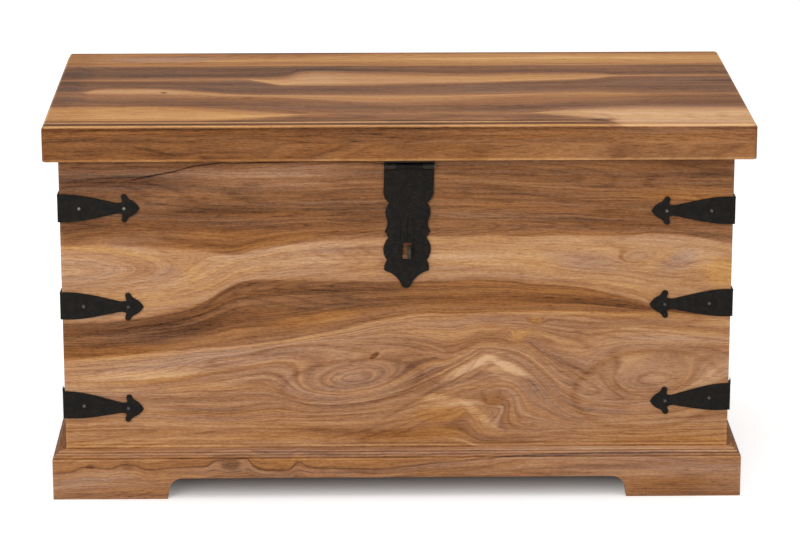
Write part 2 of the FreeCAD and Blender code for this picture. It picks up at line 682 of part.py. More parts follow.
def make_nails():
    """Nails of the straps, a group for each corner, and of the hinges and the hasp's bracket."""
    pattern = make_nail_pattern()
    corners = {corner: [] for corner in CORNER_TURNS}
    for side, turn in SIDE_TURNS.items():
        facing = FreeCAD.Rotation(UP, turn) * FACING_FRONT
        for corner, along, height in strap_nail_spots(side):
            nail = copy_of(pattern, "strap_nail")
            x, y = on_side(side, along, "dim.strap_thickness", BODY_WIDTH, BODY_DEPTH, BODY_MIDDLE)
            place(nail, x, y, height, facing)
            corners[corner].append(nail)
    for corner, nails in corners.items():
        group(nails, f"strap_nails_{corner}")
    body_nails, lid_nails = [], []
    for side in HINGE_SIDES:
        for step in leaf_nail_steps():
            x = f"({BODY_MIDDLE} + {hinge_offset(side)} + {step})"
            nail = copy_of(pattern, "hinge_body_nail")
            place(nail, x, f"({BODY_DEPTH} / 2 + dim.hinge_iron)", BODY_LEAF_NAIL_HEIGHT, FACING_BACK)
            body_nails.append(nail)
            nail = copy_of(pattern, "hinge_lid_nail")
            out = f"({BODY_DEPTH} / 2 + {HINGE_AXIS_OUT} + {LID_LEAF_NAIL_OUT})"
            place(nail, x, out, f"({LID_FOOT} - dim.hinge_iron)", FACING_DOWN)
            lid_nails.append(nail)
    group(body_nails, "hinge_nails_body")
    group(lid_nails, "hinge_nails_lid")
    hasp_nails = []
    for step in bracket_nail_steps():
        nail = copy_of(pattern, "bracket_nail")
        out = f"-({BODY_DEPTH} / 2 + {HASP_AXIS_OUT} + dim.bracket_nail_reach)"
        place(nail, f"({HASP_MIDDLE} + {step})", out, f"({LID_FOOT} - dim.hasp_iron)", FACING_DOWN)
        hasp_nails.append(nail)
    group(hasp_nails, "hasp_bracket_nails")


def make_lid_boards():
    """Four edge-glued boards, cut from one blank with a ledge and a quarter round along its top."""
    blank = new_body("lid_blank")
    foot = f"({LID_FOOT} + dim.lid_rail_height)"
    shoulder = "(dim.lid_board_thickness - dim.lid_moulding_radius - dim.lid_moulding_lip)"
    for rise, inset, height in (
        (foot, "0", shoulder),
        (f"({foot} + {shoulder})", "dim.lid_ledge", "(dim.lid_moulding_radius + dim.lid_moulding_lip)"),
    ):
        plan = sketch_on(blank, "XY_Plane", rise)
        x, y = f"(dim.lid_width / 2 - {inset})", f"(dim.lid_depth / 2 - {inset})"
        radius = f"(dim.lid_corner_radius - {inset})"
        right = (
            (f"({x} - {radius})", y, QUARTER_BOW_SHARE),
            (x, f"({y} - {radius})", 0),
            (x, f"-({y} - {radius})", QUARTER_BOW_SHARE),
            (f"({x} - {radius})", f"-{y}", 0),
        )
        outline(plan, mirrored(right, -1, 1))
        pad(blank, plan, height)
    top = number("dim.chest_height")
    soften(blank, "dim.lid_moulding_radius", lambda edge: near(edge.BoundBox.ZMin, top))
    start = 0
    for index, share in enumerate(LID_BOARD_SHARES):
        label = f"lid_board_{index + 1}"
        y = f"((-0.5 + {start + share / 2}) * dim.lid_depth)"
        cutter = make_box(f"{label}_cutter", "dim.lid_width", f"({share} * dim.lid_depth)",
                          "dim.lid_board_thickness", "0", y, foot)
        board = doc.addObject("Part::Common", label)
        board.Base = blank
        board.Tool = cutter
        node(board, label)
        start += share


def make_lid_rail(side):
    """One rail under the lid's edge, mitred at both ends, with its outer corners rounded."""
    label = f"lid_rail_{side}"
    length = "dim.lid_width" if side in ("front", "back") else "dim.lid_depth"
    body = new_body(label)
    plan = sketch_on(body, "XY_Plane")
    corner = "dim.lid_corner_radius"
    turned_in = f"({corner} * (1 - {math.cos(math.radians(45))}))"
    half = (
        (f"({length} / 2 - dim.lid_rail_width)", "dim.lid_rail_width", 0),
        (f"({length} / 2 - {turned_in})", turned_in, EIGHTH_BOW_SHARE),
        (f"({length} / 2 - {corner})", "0", 0),
    )
    outline(plan, mirrored(half, -1, 1))
    pad(body, plan, "dim.lid_rail_height")
    reach = number(turned_in)
    soften(body, "dim.edge_ease", lambda edge: near(edge.BoundBox.ZMax, 0) and middle_of(edge).y < reach)
    if side == "back":
        nails = sketch_on(body, "XY_Plane")
        y = f"(dim.lid_overhang - {HINGE_AXIS_OUT} - {LID_LEAF_NAIL_OUT})"
        spots = []
        for hinge in HINGE_SIDES:
            middle = f"({BODY_MIDDLE} + {hinge_offset(hinge)})"
            spots += [(f"(-1 * ({middle} + {step}))", y) for step in leaf_nail_steps()]
        circles(nails, spots, NAIL_HOLE_RADIUS)
        pocket(body, nails, f"({NAIL_HOLE_DEPTH} - dim.hinge_iron)", backwards=True)
    if side == "front":
        nails = sketch_on(body, "XY_Plane")
        y = f"(dim.lid_overhang - {HASP_AXIS_OUT} - dim.bracket_nail_reach)"
        spots = [(f"({HASP_MIDDLE} + {step})", y) for step in bracket_nail_steps()]
        circles(nails, spots, NAIL_HOLE_RADIUS)
        pocket(body, nails, f"({NAIL_HOLE_DEPTH} - dim.hasp_iron)", backwards=True)
    x, y = on_side(side, "0", "0", "dim.lid_width", "dim.lid_depth")
    place(body, x, y, LID_FOOT, FreeCAD.Rotation(UP, SIDE_TURNS[side]))
    node(body, label)


def roll_knuckles(body, length, radius, bore, cuts, role, low, high):
    """Adds a bored barrel along X to a leaf and cuts away the other leaf's share of it."""
    barrel = sketch_on(body, "YZ_Plane")
    circles(barrel, [("0", "0")], radius)
    pad(body, barrel, length, both_ways=True)
    hole = sketch_on(body, "YZ_Plane")
    circles(hole, [("0", "0")], bore)
    pocket(body, hole, f"({length} + 2 * dim.cut_overrun)", both_ways=True)
    gaps = sketch_on(body, role)
    for start, end in cuts:
        rectangle(gaps, start, end, low, high)
    pocket(body, gaps, f"(4 * {radius} + 2 * dim.cut_overrun)", both_ways=True)


def knuckle_spans(own):
    """Stretches of a lid hinge's barrel that belong to the other leaf, with the running gap."""
    step = f"(dim.hinge_length / {HINGE_KNUCKLE_COUNT})"
    spans = []
    for index in range(HINGE_KNUCKLE_COUNT):
        if index % 2 == own:
            continue
        start = f"({index - HINGE_KNUCKLE_COUNT / 2} * {step} - dim.knuckle_gap / 2)"
        end = f"({index + 1 - HINGE_KNUCKLE_COUNT / 2} * {step} + dim.knuckle_gap / 2)"
        spans.append((start, end))
    return spans


def make_hinge(side):
    """One lid hinge: a leaf on the back panel, a leaf under the lid's back rail and a pin."""
    half = "dim.hinge_length / 2"
    bore = "(dim.hinge_pin_radius + dim.pin_clearance)"
    x, y = f"({BODY_MIDDLE} + {hinge_offset(side)})", f"({BODY_DEPTH} / 2 + {HINGE_AXIS_OUT})"
    z = f"({LID_FOOT} - {HINGE_AXIS_OUT})"
    clear = "(dim.hinge_knuckle_radius + dim.knuckle_gap)"
    far = "(dim.hinge_knuckle_radius + dim.cut_overrun)"

    leaf = new_body(f"hinge_body_leaf_{side}")
    plate = sketch_on(leaf, "XZ_Plane", HINGE_AXIS_OUT)
    rectangle(plate, f"-{half}", half, "-dim.hinge_leaf_drop", "0")
    pad(leaf, plate, "dim.hinge_iron", backwards=True)
    roll_knuckles(leaf, "dim.hinge_length", "dim.hinge_knuckle_radius", bore, knuckle_spans(0),
                  "XZ_Plane", f"-{clear}", far)
    holes = sketch_on(leaf, "XZ_Plane")
    spots = [(step, f"-{BODY_LEAF_NAIL_DROP}") for step in leaf_nail_steps()]
    circles(holes, spots, NAIL_HOLE_RADIUS)
    pocket(leaf, holes, f"(2 * {far})", both_ways=True)
    place(leaf, x, y, z)
    node(leaf, f"hinge_body_leaf_{side}")

    leaf = new_body(f"hinge_lid_leaf_{side}")
    plate = sketch_on(leaf, "XY_Plane", f"({HINGE_AXIS_OUT} - dim.hinge_iron)")
    rectangle(plate, f"-{half}", half, "0", "dim.hinge_leaf_reach")
    pad(leaf, plate, "dim.hinge_iron")
    roll_knuckles(leaf, "dim.hinge_length", "dim.hinge_knuckle_radius", bore, knuckle_spans(1),
                  "XY_Plane", f"-{far}", clear)
    holes = sketch_on(leaf, "XY_Plane")
    spots = [(step, LID_LEAF_NAIL_OUT) for step in leaf_nail_steps()]
    circles(holes, spots, NAIL_HOLE_RADIUS)
    pocket(leaf, holes, f"(2 * {far})", both_ways=True)
    place(leaf, x, y, z)
    node(leaf, f"hinge_lid_leaf_{side}")

    make_pin(f"hinge_pin_{side}", "dim.hinge_pin_radius", "dim.hinge_length", x, y, z)


def make_pin(label, radius, length, x, y, z):
    """A hinge pin along X, with a domed head past the knuckles at each end."""
    body = new_body(label)
    profile = sketch_on(body, "XY_Plane")
    half = f"({length} / 2 + dim.pin_end_gap)"
    head = f"({radius} + dim.pin_head_lip)"
    bow = dome_bow(head, "dim.pin_head_rise")
    outline(profile, (
        (f"-({half} + dim.pin_head_rise)", "0", bow),
        (f"-{half}", head, 0),
        (f"-{half}", radius, 0),
        (half, radius, 0),
        (half, head, bow),
        (f"({half} + dim.pin_head_rise)", "0", 0),
    ))
    turned = body.newObject("PartDesign::Revolution", f"{label}_turned")
    turned.Profile = profile
    turned.ReferenceAxis = (profile, ["H_Axis"])
    turned.Angle = 360
    place(body, x, y, z)
    node(body, label)


def make_hasp():
    """The hasp plate on its pin, the bracket that hangs it from the lid, and the pin."""
    x, z = HASP_MIDDLE, HASP_AXIS_HEIGHT
    y = f"-({BODY_DEPTH} / 2 + {HASP_AXIS_OUT})"
    radius = "dim.hasp_knuckle_radius"
    bore = "(dim.hasp_pin_radius + dim.pin_clearance)"
    far = f"({radius} + dim.cut_overrun)"
    tongue = "((dim.hasp_knuckle_length - dim.knuckle_gap) / 2)"
    opening = "((dim.hasp_knuckle_length + dim.knuckle_gap) / 2)"

    plate = new_body("hasp_plate")
    face = sketch_on(plate, "XZ_Plane", f"-{radius}")
    drop = "(dim.hasp_length - dim.hasp_shoulder_drop)"
    edge = [(tongue, "0", 0), (tongue, "-dim.hasp_shoulder_drop", 0)]
    for across, down, bow in HASP_EDGE_SHARES:
        edge.append((f"{across} * dim.hasp_width / 2", f"-(dim.hasp_shoulder_drop + {down} * {drop})", bow))
    outline(face, mirrored(edge, -1, 1))
    pad(plate, face, "dim.hasp_iron")
    barrel = sketch_on(plate, "YZ_Plane")
    circles(barrel, [("0", "0")], radius)
    pad(plate, barrel, f"(2 * {tongue})", both_ways=True)
    hole = sketch_on(plate, "YZ_Plane")
    circles(hole, [("0", "0")], bore)
    pocket(plate, hole, "(dim.hasp_width + 2 * dim.cut_overrun)", both_ways=True)
    slot = sketch_on(plate, "XZ_Plane", f"-{radius}")
    rectangle(slot, "-dim.slot_width / 2", "dim.slot_width / 2",
              "-(dim.slot_drop + dim.slot_height / 2)", "-(dim.slot_drop - dim.slot_height / 2)")
    pocket(plate, slot, "dim.hasp_iron", backwards=True)
    flutes = sketch_on(plate, "XZ_Plane", f"-({radius} - dim.hasp_iron)")
    low = "(dim.slot_drop - dim.slot_height / 2 - dim.flute_clear)"
    for step in (-1, 0, 1):
        middle = f"{step} * dim.flute_pitch"
        rectangle(flutes, f"({middle} - dim.flute_width / 2)", f"({middle} + dim.flute_width / 2)",
                  f"-{low}", f"-({low} - dim.flute_length)")
    pocket(plate, flutes, "dim.flute_depth")
    place(plate, x, y, z)
    node(plate, "hasp_plate")

    bracket = new_body("hasp_bracket")
    profile = sketch_on(bracket, "YZ_Plane")
    lid = "dim.hasp_pin_drop"
    outline(profile, (
        ("-dim.bracket_reach", f"({lid} - dim.hasp_iron)", 0),
        ("-dim.bracket_reach", lid, 0),
        (radius, lid, 0),
        (radius, "0", 0),
        (f"({radius} - dim.hasp_iron)", "0", 0),
        (f"({radius} - dim.hasp_iron)", f"({lid} - dim.hasp_iron)", 0),
    ))
    pad(bracket, profile, "dim.hasp_width", both_ways=True)
    roll_knuckles(bracket, "dim.hasp_width", radius, bore, [(f"-{opening}", opening)],
                  "XZ_Plane", f"-{far}", f"({radius} + dim.knuckle_gap)")
    holes = sketch_on(bracket, "XY_Plane", f"({lid} - dim.hasp_iron)")
    circles(holes, [(step, "-dim.bracket_nail_reach") for step in bracket_nail_steps()], NAIL_HOLE_RADIUS)
    pocket(bracket, holes, "dim.hasp_iron", backwards=True)
    place(bracket, x, y, z)
    node(bracket, "hasp_bracket")

    make_pin("hasp_pin", "dim.hasp_pin_radius", "dim.hasp_width", x, y, z)


def make_staple():
    """The staple that the hasp drops over: an upright wire loop with both legs in the panel."""
    body = new_body("hasp_staple")
    path = sketch_on(body, "YZ_Plane")
    half = "(dim.staple_leg_spread / 2)"
    corners = (
        ("dim.staple_depth", half, 0),
        ("-dim.staple_stand", half, -QUARTER_BOW_SHARE),
        (f"-(dim.staple_stand + {half})", "0", -QUARTER_BOW_SHARE),
        ("-dim.staple_stand", f"-{half}", 0),
        ("dim.staple_depth", f"-{half}", 0),
    )
    outline(path, corners, closed=False)
    wire = sketch_on(body, "XZ_Plane", "-dim.staple_depth")
    circles(wire, [("0", half)], "dim.staple_wire_radius")
    doc.recompute()
    pipe = body.newObject("PartDesign::AdditivePipe", "hasp_staple_pipe")
    pipe.Profile = wire
    pipe.Spine = (path, [f"Edge{index}" for index in range(1, len(corners))])
    doc.recompute()
    place(body, HASP_MIDDLE, f"-{BODY_DEPTH} / 2", f"({HASP_AXIS_HEIGHT} - dim.slot_drop)")
    node(body, "hasp_staple")


def check_document():
    """Stops if any object failed, any sketch is loose or any piece has no sound shape."""
    doc.recompute()
    for item in doc.Objects:
        if {"Invalid", "Error"} & set(item.State):
            raise RuntimeError(f"{item.Label} failed: {item.State}")
        if item.isDerivedFrom("Sketcher::SketchObject") and not item.FullyConstrained:
            raise RuntimeError(f"{item.Label} is not fully constrained")
    for item in nodes:
        if item.Shape.isNull() or not item.Shape.isValid() or not item.Shape.Solids:
            raise RuntimeError(f"{item.Label} has no sound shape")


def write_parts():
    """Writes each piece to a file of its own."""
    os.makedirs("parts", exist_ok=True)
    for item in nodes:
        item.Shape.exportStep(os.path.join("parts", f"{item.Label}.step"))


fill_sheet()
for side_name in SIDE_TURNS:
    make_panel(side_name)
    make_plinth(side_name)
    make_lid_rail(side_name)
make_floor()
make_blocks()
make_straps()
make_nails()
make_lid_boards()
for hinge_side in HINGE_SIDES:
    make_hinge(hinge_side)
make_hasp()
make_staple()
check_document()
write_parts()
print(f"{len(nodes)} pieces")
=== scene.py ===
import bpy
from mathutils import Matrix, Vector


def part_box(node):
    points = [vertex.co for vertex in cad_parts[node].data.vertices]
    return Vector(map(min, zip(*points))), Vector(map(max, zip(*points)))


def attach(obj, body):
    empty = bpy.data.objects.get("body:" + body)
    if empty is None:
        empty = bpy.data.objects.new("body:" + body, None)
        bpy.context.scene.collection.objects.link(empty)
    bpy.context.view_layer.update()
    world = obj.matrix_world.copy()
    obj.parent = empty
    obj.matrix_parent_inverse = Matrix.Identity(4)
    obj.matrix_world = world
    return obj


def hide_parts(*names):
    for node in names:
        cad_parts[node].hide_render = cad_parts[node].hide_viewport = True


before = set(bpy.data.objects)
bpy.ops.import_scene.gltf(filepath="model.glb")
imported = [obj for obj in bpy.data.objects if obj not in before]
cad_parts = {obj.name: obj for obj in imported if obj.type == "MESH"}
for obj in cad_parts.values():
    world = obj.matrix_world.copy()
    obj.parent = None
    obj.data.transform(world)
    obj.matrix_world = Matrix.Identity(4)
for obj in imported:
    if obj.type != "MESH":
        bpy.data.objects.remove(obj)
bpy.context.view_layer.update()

import logging
import math
from contextlib import contextmanager
from dataclasses import dataclass, field
from enum import Enum
from typing import Iterator, Optional, Sequence, Union

import bpy
from mathutils import Matrix, Vector

log = logging.getLogger("storage_chest")

MM = 0.001      # metres in a millimetre
WELD = 1e-6     # points nearer than this, in metres, become one
NEAR = 1e-5     # a strap's two arms meet where they are nearer than this, in metres
FACING = 0.9    # a face whose normal has more than this of an axis looks along it
Piece = bpy.types.Object
Tree = bpy.types.NodeTree
Socket = bpy.types.NodeSocket
Source = Union[float, Sequence[float], Socket]
Point = tuple[float, float]
Colour = tuple[float, float, float, float]
Stops = tuple[tuple[float, Colour], ...]
Figure = tuple[Source, Source, Source, Source]
Mixture = tuple[tuple[str, float], ...]


class Lay(Enum):
    """How a board lies: its axes along the grain, across the face and into the depth."""

    FRONT = ("X", "Z", "Y")
    TOP = ("X", "Y", "Z")
    SIDE = ("Y", "Z", "X")
    UPRIGHT = ("Z", "X", "Y")


class Corner(Enum):
    """An upright corner of the chest, with the signs of its x and y."""

    FRONT_LEFT = (-1, -1)
    FRONT_RIGHT = (1, -1)
    BACK_RIGHT = (1, 1)
    BACK_LEFT = (-1, 1)

    @property
    def label(self) -> str:
        """The corner's name as the CAD nodes spell it."""
        return self.name.lower()


def srgb(red: int, green: int, blue: int) -> Colour:
    """Turns a colour as seen on a screen into linear light.

    Args:
        red: 0 to 255.
        green: 0 to 255.
        blue: 0 to 255.

    Returns:
        Linear red, green, blue and a full alpha.
    """
    def bend(part: int) -> float:
        """Takes the screen's curve out of one channel."""
        share = part / 255
        return share / 12.92 if share <= 0.04045 else ((share + 0.055) / 1.055) ** 2.4

    return bend(red), bend(green), bend(blue), 1.0


def pick_only(obj: Piece) -> None:
    """Makes one object the only selected one and the active one.

    Args:
        obj: the object.
    """
    bpy.ops.object.select_all(action="DESELECT")
    obj.select_set(True)
    bpy.context.view_layer.objects.active = obj


def newest() -> Piece:
    """The object that the last operator added or copied."""
    return bpy.context.view_layer.objects.active


@contextmanager
def editing(obj: Piece, picked: str = "") -> Iterator[None]:
    """Opens an object in edit mode, with all of its mesh selected or only what is picked already.

    Args:
        obj: the mesh object to edit.
        picked: EDGE or FACE keeps the picked edges or faces; empty selects all.
    """
    pick_only(obj)
    bpy.ops.object.mode_set(mode="EDIT")
    if picked:
        bpy.ops.mesh.select_mode(type=picked)
    else:
        bpy.ops.mesh.select_all(action="SELECT")
    yield
    if picked:
        bpy.ops.mesh.select_mode(type="VERT")
    bpy.ops.object.mode_set(mode="OBJECT")


def clean(obj: Piece, smooth_below: float = 38.0) -> None:
    """Welds a mesh, turns its faces outwards and smooths its gentle edges.

    Args:
        obj: the mesh object.
        smooth_below: edges flatter than this, in degrees, are shaded smooth.
    """
    with editing(obj):
        bpy.ops.mesh.remove_doubles(threshold=WELD)
        bpy.ops.mesh.normals_make_consistent(inside=False)
    pick_only(obj)
    bpy.ops.object.shade_smooth_by_angle(angle=math.radians(smooth_below))


def repeat(obj: Piece, name: str) -> Piece:
    """Copies an object together with its mesh.

    Args:
        obj: the pattern.
        name: the copy's name.

    Returns:
        The copy, at the origin.
    """
    pick_only(obj)
    bpy.ops.object.duplicate()
    copy = newest()
    copy.name = name
    return copy


def join(objects: Sequence[Piece], name: str) -> Piece:
    """Joins several objects into one.

    Args:
        objects: the objects; the first one stays.
        name: the joined object's name.

    Returns:
        The joined object.
    """
    bpy.ops.object.select_all(action="DESELECT")
    for obj in objects:
        obj.select_set(True)
    bpy.context.view_layer.objects.active = objects[0]
    if len(objects) > 1:
        bpy.ops.object.join()
    objects[0].name = name
    return objects[0]


class Bench:
    """A node tree, with short ways to add nodes and join them up."""

    def __init__(self, tree: Tree) -> None:
        """Keeps the tree that the nodes go into."""
        self.tree = tree

    def add(self, kind: str, **settings: object) -> bpy.types.Node:
        """Adds a node.

        Args:
            kind: the node's type name.
            settings: properties to set on it.

        Returns:
            The node.
        """
        node = self.tree.nodes.new(kind)
        for name, value in settings.items():
            setattr(node, name, value)
        return node

    def feed(self, socket: Socket, source: Source) -> None:
        """Links a socket to another one, or sets its value.

        Args:
            socket: the input to feed.
            source: an output to link, or a value.
        """
        if isinstance(source, Socket):
            self.tree.links.new(source, socket)
        else:
            socket.default_value = source

    def math(self, operation: str, *sources: Source, clamp: bool = False) -> Socket:
        """Adds a Math node.

        Args:
            operation: what it does, such as MULTIPLY.
            sources: its inputs in order.
            clamp: keeps the result between 0 and 1.

        Returns:
            Its result.
        """
        node = self.add("ShaderNodeMath", operation=operation, use_clamp=clamp)
        for socket, source in zip(node.inputs, sources):
            self.feed(socket, source)
        return node.outputs[0]

    def total(self, *sources: Source) -> Socket:
        """Adds up any number of sources.

        Args:
            sources: what is added.

        Returns:
            The sum.
        """
        result = sources[0]
        for source in sources[1:]:
            result = self.math("ADD", result, source)
        return result

    def times(self, first: Source, second: Source) -> Socket:
        """Multiplies two sources."""
        return self.math("MULTIPLY", first, second)

    def scaled(self, source: Source, scale: Source, start: Source) -> Socket:
        """Multiplies a source by a scale and adds a start."""
        return self.math("MULTIPLY_ADD", source, scale, start)

    def less(self, first: Source, second: Source) -> Socket:
        """Takes the second source from the first."""
        return self.math("SUBTRACT", first, second)

    def square(self, source: Source) -> Socket:
        """Multiplies a source by itself."""
        return self.times(source, source)

    def vector(self, x: Source, y: Source, z: Source) -> Socket:
        """Combines three numbers into a vector.

        Args:
            x: its first part.
            y: its second part.
            z: its third part.

        Returns:
            The vector.
        """
        node = self.add("ShaderNodeCombineXYZ")
        for socket, source in zip(node.inputs, (x, y, z)):
            self.feed(socket, source)
        return node.outputs[0]

    def parts(self, vector: Socket) -> dict[str, Socket]:
        """Splits a vector into X, Y and Z.

        Args:
            vector: the vector.

        Returns:
            Its parts by name.
        """
        node = self.add("ShaderNodeSeparateXYZ")
        self.feed(node.inputs[0], vector)
        return {socket.name: socket for socket in node.outputs}

    def noise(self, place: Source, detail: float, roughness: float = 0.5, scale: float = 1.0,
              swirl: float = 0.0, flat: bool = False) -> Socket:
        """Adds a noise texture.

        Args:
            place: where it is read.
            detail: octaves.
            roughness: strength of each octave beside the last.
            scale: cycles in one unit of the place.
            swirl: how far it is distorted.
            flat: reads only X and Y.

        Returns:
            Its value, about 0.5 on average.
        """
        node = self.add("ShaderNodeTexNoise", noise_dimensions="2D" if flat else "3D")
        for name, source in (("Vector", place), ("Scale", scale), ("Detail", detail),
                             ("Roughness", roughness), ("Distortion", swirl)):
            self.feed(node.inputs[name], source)
        return node.outputs["Fac"]

    def streaks(self, kind: "Streak", along: Source, across: Source, depth: Optional[Source] = None,
                start: Optional[Source] = None) -> Socket:
        """Adds noise that is drawn out along the grain.

        Args:
            kind: the streaks' measures.
            along: place along the grain, in millimetres.
            across: place across it.
            depth: place into the depth; without it the noise is flat.
            start: shifts the noise, so that boards differ.

        Returns:
            The noise, about 0.5 on average.
        """
        first = self.times(along, kind.along) if start is None else self.scaled(along, kind.along, start)
        last = 0.0 if depth is None else self.times(depth, kind.across)
        place = self.vector(first, self.times(across, kind.across), last)
        return self.noise(place, kind.detail, kind.roughness, swirl=kind.swirl, flat=depth is None)

    def span(self, source: Source, low: Source, high: Source, to_low: Source = 0.0,
             to_high: Source = 1.0, smooth: bool = False) -> Socket:
        """Adds a clamped Map Range node.

        Args:
            source: what is mapped.
            low: lower end of the source's range.
            high: upper end of the source's range.
            to_low: result at the lower end.
            to_high: result at the upper end.
            smooth: eases in and out.

        Returns:
            The mapped value.
        """
        node = self.add("ShaderNodeMapRange", interpolation_type="SMOOTHSTEP" if smooth else "LINEAR")
        for socket, value in zip(node.inputs, (source, low, high, to_low, to_high)):
            self.feed(socket, value)
        return node.outputs[0]

    def mix(self, factor: Source, first: Source, second: Source) -> Socket:
        """Mixes two colours.

        Args:
            factor: share of the second.
            first: the first colour.
            second: the second colour.

        Returns:
            The mixed colour.
        """
        node = self.add("ShaderNodeMix", data_type="RGBA")
        for index, source in ((0, factor), (6, first), (7, second)):
            self.feed(node.inputs[index], source)
        return node.outputs[2]

    def ramp(self, factor: Source, stops: Stops) -> Socket:
        """Adds a colour ramp.

        Args:
            factor: where it is read.
            stops: pairs of place and colour, in order.

        Returns:
            The colour.
        """
        node = self.add("ShaderNodeValToRGB")
        elements = node.color_ramp.elements
        while len(elements) < len(stops):
            elements.new(1.0)
        for element, (place, colour) in zip(elements, stops):
            element.position, element.color = place, colour
        self.feed(node.inputs[0], factor)
        return node.outputs[0]

    def curve(self, source: Source, points: Sequence[Point], handle: str = "AUTO_CLAMPED") -> Socket:
        """Adds a Float Curve node through points between 0 and 1.

        Args:
            source: where it is read.
            points: the points, left to right.
            handle: how the curve runs through them.

        Returns:
            The curve's height.
        """
        node = self.add("ShaderNodeFloatCurve")
        line = node.mapping.curves[0]
        while len(line.points) < len(points):
            line.points.new(0.5, 0.5)
        for knot, place in zip(line.points, points):
            knot.location = place
        for knot in line.points:
            knot.handle_type = handle
        node.mapping.update()
        self.feed(node.inputs["Value"], source)
        return node.outputs[0]

    def place(self, group: Tree, **sources: Source) -> dict[str, Socket]:
        """Places a shared node group.

        Args:
            group: the group.
            sources: its inputs, with spaces in their names written as underscores.

        Returns:
            Its outputs by name.
        """
        node = self.add("ShaderNodeGroup", node_tree=group)
        for name, source in sources.items():
            self.feed(node.inputs[name.replace("_", " ")], source)
        return {socket.name: socket for socket in node.outputs}


class Surface(Bench):
    """The nodes of a new material, with its shader's inputs and the place on the object."""

    def __init__(self, name: str) -> None:
        """Makes the material.

        Args:
            name: the material's name.
        """
        self.material = bpy.data.materials.new(name)
        self.material.use_nodes = True
        super().__init__(self.material.node_tree)
        self.shader = self.tree.nodes["Principled BSDF"].inputs
        self.spot = self.parts(self.add("ShaderNodeTexCoord").outputs["Object"])

    def relief(self, height: Socket, strength: float, depth: float) -> None:
        """Roughens the surface.

        Args:
            height: the surface's height.
            strength: how strongly it shows.
            depth: its depth in millimetres.
        """
        bump = self.add("ShaderNodeBump")
        for name, source in (("Strength", strength), ("Distance", depth * MM), ("Height", height)):
            self.feed(bump.inputs[name], source)
        self.feed(self.shader["Normal"], bump.outputs["Normal"])


class SharedGroup:
    """A shader node group with named inputs and outputs, built once."""

    def __init__(self, name: str, inputs: Sequence[str], outputs: Sequence[str],
                 colours: Sequence[str] = ()) -> None:
        """Makes the group and its sockets.

        Args:
            name: the group's name.
            inputs: names of its number inputs.
            outputs: names of its outputs.
            colours: those of the outputs that are colours.
        """
        self.tree = bpy.data.node_groups.new(name, "ShaderNodeTree")
        for way, names in (("INPUT", inputs), ("OUTPUT", outputs)):
            for socket in names:
                kind = "NodeSocketColor" if socket in colours else "NodeSocketFloat"
                self.tree.interface.new_socket(name=socket, in_out=way, socket_type=kind)
        self.bench = Bench(self.tree)
        entry = self.bench.add("NodeGroupInput")
        self.inputs = {socket.name: socket for socket in entry.outputs if socket.name}
        self.exit = self.bench.add("NodeGroupOutput")

    def give(self, **sources: Source) -> Tree:
        """Connects the group's outputs.

        Args:
            sources: what each output gives.

        Returns:
            The finished group.
        """
        for name, source in sources.items():
            self.bench.feed(self.exit.inputs[name], source)
        return self.tree


@dataclass(frozen=True)
class Palette:
    """Colours of the timber from its darkest streaks to its palest sapwood, in three hues."""

    brown: Stops = (
        (0.00, srgb(56, 37, 25)), (0.10, srgb(84, 56, 38)), (0.22, srgb(105, 70, 47)),
        (0.42, srgb(135, 92, 61)), (0.62, srgb(163, 115, 79)), (0.82, srgb(188, 142, 101)),
        (1.00, srgb(211, 168, 125)),
    )
    golden: Stops = (
        (0.00, srgb(58, 36, 20)), (0.10, srgb(86, 54, 31)), (0.22, srgb(108, 68, 39)),
        (0.42, srgb(140, 90, 51)), (0.62, srgb(168, 115, 66)), (0.82, srgb(194, 145, 89)),
        (1.00, srgb(215, 173, 114)),
    )
    mauve: Stops = (
        (0.00, srgb(53, 40, 33)), (0.10, srgb(80, 59, 48)), (0.22, srgb(100, 74, 60)),
        (0.42, srgb(130, 97, 77)), (0.62, srgb(160, 121, 97)), (0.82, srgb(185, 148, 119)),
        (1.00, srgb(208, 174, 142)),
    )


@dataclass(frozen=True)
class Streak:
    """One kind of streak: cycles per millimetre along and across the grain, and how its noise is made."""

    along: float
    across: float
    detail: float
    roughness: float
    swirl: float = 0.0
    shift: float = 0.0


@dataclass(frozen=True)
class Grain:
    """The timber's streaks, from its broad bands to its pores, and their shares in its look."""

    bands: Streak = Streak(0.0022, 0.07, 4.0, 0.6, 0.15)
    lines: Streak = Streak(0.006, 0.34, 3.0, 0.65, 0.1, shift=11.0)
    veins: Streak = Streak(0.004, 0.11, 3.0, 0.55, 0.2, shift=57.0)
    contours: Streak = Streak(0.0016, 0.03, 1.0, 0.4, 0.3, shift=23.0)
    contour_count: float = 34.0
    contour_edge: float = 0.5
    fibres: Streak = Streak(0.03, 0.40, 3.0, 0.7)
    specks: Streak = Streak(0.20, 0.78, 2.0, 0.65)
    pores: Streak = Streak(0.055, 0.95, 1.0, 0.5)
    pore_span: Point = (0.60, 0.70)
    blotches: Streak = Streak(0.006, 0.02, 2.0, 0.5)
    wander: Streak = Streak(0.0032, 0.009, 2.0, 0.45)
    depth_shift: float = 37.0
    matt: float = 0.5
    in_figure: Mixture = (("bands", 0.46), ("lines", 0.38), ("pencil", -0.09))
    in_tone: Mixture = (("fibres", 0.28), ("specks", 0.42), ("pores", -0.18), ("blotches", 0.10))
    in_hue: Mixture = (("blotches", 1.1), ("veins", 2.0), ("fibres", 0.6))
    in_roughness: Mixture = (("lines", 0.16), ("pores", 0.12))
    in_height: Mixture = (("lines", 0.5), ("fibres", 0.5), ("pores", -0.7))


